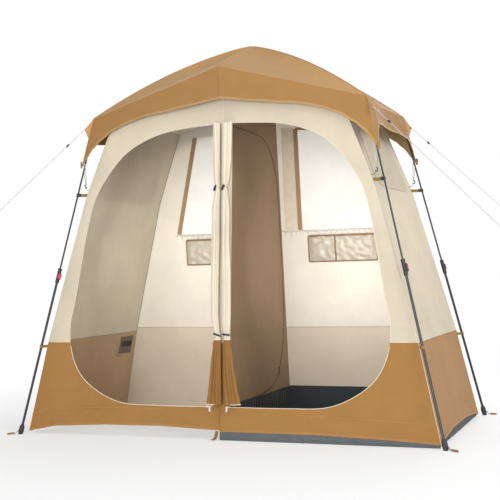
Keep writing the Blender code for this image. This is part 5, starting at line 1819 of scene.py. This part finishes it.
def roll_place(shares, seed, around, up):
    """Place on a gathered door: a roll of cloth in front of the pillar, drawn in at its ties."""
    inner, outer = look(shares, up)
    height = blend(DOOR_BOTTOM, DOOR_TOP, up)
    middle = (inner + outer) / 2 * PILLAR_HALF_WIDTH
    wide = (outer - inner) / 2 * PILLAR_HALF_WIDTH
    flare = min(1.0, max(0.0, (0.232 - up) / 0.08))
    deep = max(0.010, min(0.019 + 0.007 * flare, wide * 0.95))
    angle = math.tau * around + math.pi / 2
    share = roll_radius(angle, up, up < 0.232, seed)
    x = middle + wide * share * math.cos(angle)
    y = deep * min(share, 1.0) * math.sin(angle)
    return Vector((x, y - deep - 0.0014 - half_depth(height), height))


def make_gathered_door(name, shares, sizes):
    node = "door_bundle_" + name
    seed = 1.0 if name == "left" else 6.0

    def lay(u, v):
        return roll_place(shares, seed, u, blend(0.012, 1.0, v))

    work = turn_out(weld(make_grid(120, 120, lay)))
    middle = roll_place(shares, seed, 0.0, 0.5).lerp(roll_place(shares, seed, 0.5, 0.5), 0.5)
    face_away(work, middle)
    upper, lower = split_at(work, DOOR_FOOT_HEIGHT, 0.0)
    top = make_piece(upper, "gathered_door_" + name, ["door_top"], "eave_front", [node],
                     "front", sizes.cloth)
    bottom = make_piece(lower, "gathered_foot_" + name, ["door"], "eave_front", [node],
                        "front", sizes.cloth)
    trim = []
    for index, tie in enumerate(TIE_SHARES):
        trim += make_tie(name, shares, tie, index)
    ends = (0.20, 0.56) if name == "left" else (0.46, 0.80)
    low = [roll_place(shares, seed, blend(*ends, share), 0.012) for share in shares_of(60)]
    piping = make_line(low, 0.0024, "gathered_piping_" + name, "piping", "eave_front")
    trim.append(make_zip_ends(name))
    declare_sheet(top, 1.1)
    declare_sheet(bottom, 0.35)
    hang([top, bottom, piping, *trim], "eave_front")


def make_zip_ends(name):
    """White ends of the door's zip tape at the top and the foot of the pillar."""
    side, low_x, high_x = {"left": (-1, -0.053, -0.046), "right": (1, 0.036, 0.041)}[name]
    works = []
    for x, height, length in ((high_x, 1.556, 0.034), (low_x, 0.150, 0.027)):
        up = axes_frame(on_front(x, height, 0.0030), Vector((0, WALL_LEAN, 1)), Vector((1, 0, 0)))
        works.append(lay_block((0.0095, 0.0020, length), 0.0006, up))
        if height < 1:
            bar = up @ Matrix.Translation((side * 0.008, 0, 0.5 * length - 0.003))
            works.append(lay_block((0.020, 0.0024, 0.0055), 0.0006, bar))
    return make_piece(joined(*works), "zip_ends_" + name, ["tape"], "eave_front", ())


def make_tie(name, shares, tie, index):
    """Loop of webbing round the gathered cloth, closed by a toggle."""
    inner, outer = look(shares, tie)
    height = blend(DOOR_BOTTOM, DOOR_TOP, tie)
    inner *= PILLAR_HALF_WIDTH
    outer *= PILLAR_HALF_WIDTH
    middle = (inner + outer) / 2
    half = (outer - inner) / 2 + 0.0015
    front = -half_depth(height) - 0.017
    back = -half_depth(height) - 0.0012
    ring = [Vector((middle + half * near, (front + back) / 2 + (front - back) / 2 * far, height))
            for near, far in circle(32)]
    loop = make_line(ring, 0.0016, "door_tie_%s_%d" % (name, index), "dark_cord", "eave_front",
                     closed=True)
    if index:
        lean = Vector((1.0, 0.0, -0.34 if name == "left" else -0.12)).normalized()
        centre = Vector((middle - half * 0.05, front - 0.010, height + 0.004))
        radius = 0.0046
    else:
        lean = Vector((0.42, -0.1, 1.0)).normalized()
        centre = Vector((middle - half * (1.0 if name == "left" else 0.45), front - 0.005, height))
        radius = 0.0062
    half_long = 0.019 if index else 0.015
    profile = [(0.0, -half_long)] + [(radius * share, half_long * level) for share, level in (
        (0.70, -0.97), (1.0, -0.80), (0.95, -0.33), (0.80, 0.0), (0.95, 0.33), (1.0, 0.80),
        (0.70, 0.97))] + [(0.0, half_long)]
    toggle = make_piece(
        lay_turned(profile, 14, axes_frame(centre, lean, Vector((0, 1, 0)))),
        "door_toggle_%s_%d" % (name, index), ["toggle"], "eave_front", ())
    return [loop, toggle]


# Pockets and floor

POCKETS = {"pocket_left": (-0.605, -0.205, ()), "pocket_right": (0.158, 0.558, (0.405,))}
POCKET_BOTTOM = 0.865
POCKET_TOP = 1.010
POCKET_DEPTH = 0.022


class TENT_OT_pockets(bpy.types.Operator):
    """Mesh pockets on the inside of the back wall, bound with tape"""
    bl_idname = "tent.pockets"
    bl_label = "Pockets"

    def execute(self, context):
        sizes = context.scene.tent_sizes
        for node, (left, right, dividers) in POCKETS.items():
            make_pocket(node, left, right, dividers, sizes)
        return {"FINISHED"}


def pocket_place(left, right, u, v):
    """Place on a pocket's bellied front."""
    x = blend(left, right, u)
    z = blend(POCKET_BOTTOM, POCKET_TOP, v)
    edge = min(1.0, min(u, 1 - u) * 14)
    belly = math.sin(math.pi * min(1.0, 0.08 + 0.62 * v + 0.05)) * edge
    ripple = 0.0066 * noise.noise(Vector((x * 22 + z * 34, z * 20 - x * 16, 2.0)))
    ripple += 0.0022 * noise.noise(Vector((x * 60, z * 50 + x * 40, 5.0)))
    return on_back(x, z, -0.0026 - (POCKET_DEPTH - 0.006) * belly + ripple * edge)


def make_pocket(node, left, right, dividers, sizes):
    corner = "rear_" + node.split("_")[1]
    body = "leg_" + corner
    work = make_grid(64, 24, lambda u, v: pocket_place(left, right, u, v))
    face_away(work, Vector((0, 2, 0.9)))
    net = make_piece(work, node + "_net", ["net"], body, [node], "front", sizes.cloth)
    runs = {
        "rim": [pocket_place(left, right, share, 1.0) for share in shares_of(32)],
        "low": [pocket_place(left, right, share, 0.0) for share in shares_of(32)],
        "start": [pocket_place(left, right, 0.0, share) for share in shares_of(12)],
        "end": [pocket_place(left, right, 1.0, share) for share in shares_of(12)],
    }
    for number, share in enumerate(dividers):
        runs["divider_%d" % number] = [pocket_place(left, right, share, step / 12)
                                       for step in range(13)]
    trim = [make_band(run, 0.012 if part == "rim" else 0.009, [-BACK_NORMAL],
                      "%s_%s" % (node, part), "pocket_band", body, 0.0008)
            for part, run in runs.items()]
    declare_sheet(net, right - left)
    hang([net, *trim], "front", corner)


class TENT_OT_floor(bpy.types.Operator):
    """Coated floor of the right room with its turned-up rim, and the strip under the hem"""
    bl_idname = "tent.floor"
    bl_label = "Floor tray"

    def execute(self, context):
        for corner in ("front_right", "rear_right"):
            make_tray_half(corner)
        make_ground_strip()
        return {"FINISHED"}


TRAY_RIM = 0.150


def tray_row():
    """Widths and heights across the floor, with its rims at both ends."""
    near = 0.0030
    far = half_width(0.02) - 0.0050
    rise = [(0.0, TRAY_RIM * level) for level in (1, 0.8, 0.6, 0.4, 0.2)]
    rise += [(0.002, 0.006), (0.012, 0.0012)]
    return [*((near + out, up) for out, up in rise),
            *((blend(near + 0.012, far - 0.012, share), 0.0010) for share in shares_of(30)[1:-1]),
            *((far - out - 0.22 * up, up) for out, up in rise[::-1])]


def make_tray_half(corner):
    end = CORNERS[corner][1]
    row = tray_row()
    depth = half_depth(0.0) - 0.0050

    def lay(u, v):
        x, z = row[round(u * (len(row) - 1))]
        lift = TRAY_RIM * max(0.0, v - 0.8) / 0.2
        y = min(1.0, v / 0.8) * depth
        if lift > z:
            z = lift
        elif z > 0.002:
            x += 0.0016 * (1 + math.sin(y * 210 + math.sin(y * 37)))
        if lift > 0.002:
            y -= 0.0016 * (1 + math.sin(x * 190 + math.sin(x * 31)))
        ripple = 0.0024 * (noise.noise(Vector((x * 9, y * 11, 0.4))) + 0.4)
        if 0.05 < x < row[-1][0] - 0.06 and v < 0.78:
            z += max(0.0, ripple)
        y = min(y, half_depth(z) - 0.0040)
        return Vector((min(x, half_width(z) - 0.0070), end * y, z))

    work = make_grid(len(row) - 1, 150, lay)
    face_away(work, Vector((0.5, 0, -3)))
    apex = leg_point(corner, 0.0)
    edge = [Vector((0.0, end * depth * (1 - share), 0)) for share in shares_of(4)]
    edge += [Vector((row[-1][0] * share, 0.0, 0)) for share in shares_of(8)[1:]]
    headings = [Vector((place.x - apex.x, place.y - apex.y, 0)).normalized() for place in edge]
    bounds = [Vector((-1, end * 0.3, 0)).normalized(), *headings[1:-1],
              Vector((0.3, -end, 0)).normalized()]
    for number, (part, heading) in enumerate(fan(work, apex, upwards(end), bounds)):
        tray = make_piece(part, "floor_tray_%s_%d" % (corner.split("_")[0], number), ["sheet"],
                          "leg_" + corner, ["floor_tray"], "roof", 0.0009)
        declare_sheet(tray, 0.9)
        draw_in(tray)


def make_ground_strip():
    """Dark edge of the ground sheet that shows under the right half of the front."""
    places = hem_places("right", 1, 0.0)
    count = len(places)

    def lay(u, v):
        at = u * (count - 1)
        start = min(int(at), count - 2)
        x, high = (blend(low, far, at - start)
                   for low, far in zip(places[start], places[start + 1]))
        z = blend(0.001, high + 0.006, v)
        crumple = noise.noise(Vector((x * 34, z * 70, 0)))
        crumple += 0.6 * noise.noise(Vector((x * 90, z * 90, 3)))
        bulge = (0.0035 + 0.0040 * crumple) * math.sin(math.pi * v)
        return Vector((x * 0.998, -half_depth(z) + 0.0030 - bulge, z))

    work = make_grid(5 * (count - 1), 8, lay)
    face_away(work, BODY_CENTRE)
    strip = make_piece(work, "ground_strip", ["strip"], "leg_front_right", ["floor_tray"],
                       "front", 0.0009)
    declare_sheet(strip, 1.1)
    hang([strip], "front", "front_right")


# Straps, ear cords and feet

class TENT_OT_straps(bpy.types.Operator):
    """Webbing straps, clips and tabs that hold the body to the legs, and the ear cords"""
    bl_idname = "tent.straps"
    bl_label = "Straps and clips"

    def execute(self, context):
        for corner in CORNERS:
            make_strap(corner, "strap", STRAP_HEIGHT, 0.016, 0.0048)
            make_strap(corner, "low_tab", LOW_TAB_HEIGHT, 0.014, 0.0069)
            make_ear_cord(corner)
        return {"FINISHED"}


def make_strap(corner, name, height, width, reach):
    """Flat webbing from the wall's corner seam round the leg, and its clip."""
    side, end = CORNERS[corner]
    body = "leg_" + corner
    node = ("side_upper_" if name == "strap" else "side_skirt_") + corner.split("_")[1]
    wall = Vector((side * (half_width(height) + 0.0004), end * (half_depth(height) - 0.014),
                   height))
    leg = leg_point(corner, height)
    along = (leg - wall).normalized()
    up = leg_direction(corner)
    square = along.cross(up).normalized()
    stop = leg - along * (reach + 0.0016)
    path = [wall.lerp(stop, share) + upwards(-0.0018 * math.sin(math.pi * share))
            for share in shares_of(10)]
    strap = name == "strap"
    make_band(path, width, [square], "%s_%s" % (name, corner), "webbing_band", body,
              0.0, 0.0016)
    low, high = -0.5 * width, 0.5 * width
    outer = reach + 0.0028
    profile = [(reach, low), (outer - 0.0006, low), (outer, low + 0.0006), (outer, high - 0.0006),
               (outer - 0.0006, high), (reach, high), (reach, low)]
    ring = lay_turned(profile, 24, axes_frame(leg, up, along))
    if strap:
        ring = joined(ring, lay_block((0.012, 0.009, 0.018), 0.0015, axes_frame(
            leg - along * (reach + 0.0065), up, along)))
    make_piece(ring, "%s_ring_%s" % (name, corner), ["plastic" if strap else "webbing"], body,
               [node], "side")


def make_ear_cord(corner):
    """Loop of shock cord with a hook between the ear's tip and the body."""
    side, end = CORNERS[corner]
    body = "leg_" + corner
    tip = at_corner(EAR_TIP, corner)
    start = tip + Vector((-side * 0.012, -end * 0.006, 0.014))
    low = Vector((start.x - side * 0.004, start.y - end * 0.006, 1.292))
    wide = Vector((side * 0.005, -end * 0.002, 0))
    path = [start + wide, start.lerp(low, 0.35) + wide * 1.2, start.lerp(low, 0.8) + wide * 0.8,
            low + upwards(-0.004), start.lerp(low, 0.8) - wide * 0.8,
            start.lerp(low, 0.35) - wide * 1.2, start - wide]
    run = smooth_path(path, 6)
    make_line(run, 0.0020, "ear_cord_" + corner, "cord", body, "side")
    tab = [tip + upwards(lift) + Vector((side, end, 0)) * 0.0012
           for lift in (0.026, 0.014, 0.002, -0.008)]
    make_band(tab, 0.013, [Vector((side * 0.5, end, 0)).normalized()], "ear_tab_" + corner,
              "webbing_band", body, 0.0, 0.0016)
    hook_frame = axes_frame(low, upwards(-1), Vector((side, 0, 0)))
    angles = [blend(-0.4, 4.4, share) for share in shares_of(14)]
    hook = [hook_frame @ Vector((0.006 * math.sin(angle), 0, 0.008 - 0.009 * math.cos(angle)))
            for angle in angles]
    wall = Vector((side * half_width(1.262), end * (half_depth(1.262) - 0.004), 1.262))
    thread = [low + upwards(-0.016), low.lerp(wall, 0.5) + upwards(-0.016), wall]
    thread_run = smooth_path(thread, 6)
    make_piece(joined(lay_tube(hook, 0.0026, 8), lay_tube(thread_run, 0.0012, 6)),
               "ear_hook_" + corner, ["plastic"], body, (), "side")


class TENT_OT_feet(bpy.types.Operator):
    """Rounded feet with the cords and webbing loops that pegs go through"""
    bl_idname = "tent.feet"
    bl_label = "Feet and stake loops"

    def execute(self, context):
        for corner in CORNERS:
            make_foot(corner)
        make_middle_loop()
        return {"FINISHED"}


def lay_foot(corner):
    base = leg_point(corner, 0.0)
    up = leg_direction(corner)
    frame_here = axes_frame(base, up, UP.cross(up))
    profile = [(0.0070, 0.0505), (0.0079, 0.0515), (0.0090, 0.0505), (0.0096, 0.0470),
               (0.0100, 0.0440), (0.0122, 0.0425), (0.0128, 0.0405), (0.0128, 0.0380),
               (0.0134, 0.0340), (0.0135, 0.0200), (0.0131, 0.0120), (0.0121, 0.0040),
               (0.0105, 0.0), (0.0098, -0.004), (0.0, -0.0045)]
    work = lay_turned(profile, 32, frame_here)
    rims = [part for part in cut(work, (0, 0, 0.0002), UP, clear_inner=True)
            if isinstance(part, bmesh.types.BMEdge)]
    bmesh.ops.holes_fill(work, edges=rims, sides=0)
    return turn_out(work)


def make_foot(corner):
    body = "lower_leg_" + corner
    azimuth = leg_azimuth(corner)
    out = Vector((math.cos(azimuth), math.sin(azimuth), 0))
    square = Vector((-out.y, out.x, 0))
    base = leg_point(corner, 0.0)
    make_piece(lay_foot(corner), "foot_plug_" + corner, ["plastic"], body, ["foot_" + corner],
               "side")
    cord = [base + out * reach + upwards(lift)
            for reach, lift in ((0.010, 0.020), (0.015, 0.015), (0.020, 0.009), (0.026, 0.005),
                                (0.032, 0.004))]
    run = smooth_path([place + square * 0.003 for place in cord], 3)
    run += smooth_path([place - square * 0.003 for place in cord[::-1]], 3)
    make_line(run, 0.0012, "foot_cord_" + corner, "dark_cord", body, "side")
    loop = [base + out * blend(0.030, 0.068, 0.5 - 0.5 * near) + square * (0.0085 * far)
            + upwards(0.0045 + 0.0015 * near) for near, far in circle(28)]
    band = lay_closed_band(loop, 0.008, out)
    make_piece(band, "stake_loop_" + corner, ["webbing"], body, ["foot_" + corner],
               "side", 0.0013)


def lay_closed_band(loop, width, out):
    """Standing band of webbing that follows a closed loop."""
    count = len(loop)

    def lay(u, v):
        return loop[round(u * count) % count] + upwards((v - 0.5) * width)

    return face_away(turn_out(weld(make_grid(count, 2, lay))), loop[0] + out * 0.02)


def make_middle_loop():
    """Stake loop of webbing at the middle of the front hem."""
    middle = Vector((-0.014, -half_depth(0.03) - 0.001, 0.044))
    out = Vector((-0.35, -1.0, 0)).normalized()
    square = Vector((-out.y, out.x, 0))
    path = [middle + out * reach + upwards(-drop) for reach, drop in (
        (0.0, 0.0), (0.004, 0.014), (0.012, 0.030), (0.030, 0.038), (0.042, 0.035))]
    run = smooth_path(path, 5)
    normals = [square.cross(ahead_at(run, index)).normalized() for index in range(len(run))]
    band = make_band(run, 0.020, normals, "middle_stake_loop", "webbing_band", "leg_front_left",
                     0.0, 0.0016)
    hang([band], "front", "front_left")


# Panel and start

OPERATORS = (
    TENT_OT_stage, TENT_OT_guy_lines, TENT_OT_frame_finish, TENT_OT_fly, TENT_OT_front_wall,
    TENT_OT_side_walls, TENT_OT_back_wall, TENT_OT_ceiling, TENT_OT_partition,
    TENT_OT_gathered_doors, TENT_OT_pockets, TENT_OT_floor, TENT_OT_straps, TENT_OT_feet,
)


class TENT_PT_panel(bpy.types.Panel):
    """Pieces, sizes and colours of the shower tent"""
    bl_idname = "TENT_PT_panel"
    bl_label = "Shower tent"
    bl_space_type = "VIEW_3D"
    bl_region_type = "UI"
    bl_category = "Tent"

    def draw(self, context):
        layout = self.layout
        for operator in OPERATORS:
            layout.operator(operator.bl_idname)
        sizes = context.scene.tent_sizes
        for name in TentSizes.__annotations__:
            layout.prop(sizes, name)
        colours = context.scene.tent_colours
        for name in TentColours.__annotations__:
            layout.prop(colours, name)


CLASSES = (TentColours, TentSizes, *OPERATORS, TENT_PT_panel)


def register():
    for part in CLASSES:
        bpy.utils.register_class(part)
    bpy.types.Scene.tent_colours = PointerProperty(type=TentColours)
    bpy.types.Scene.tent_sizes = PointerProperty(type=TentSizes)


def unregister():
    del bpy.types.Scene.tent_sizes
    del bpy.types.Scene.tent_colours
    for part in reversed(CLASSES):
        bpy.utils.unregister_class(part)


def main():
    register()
    for operator in OPERATORS:
        group, name = operator.bl_idname.split(".")
        getattr(getattr(bpy.ops, group), name)()


if __name__ == "__main__":
    main()
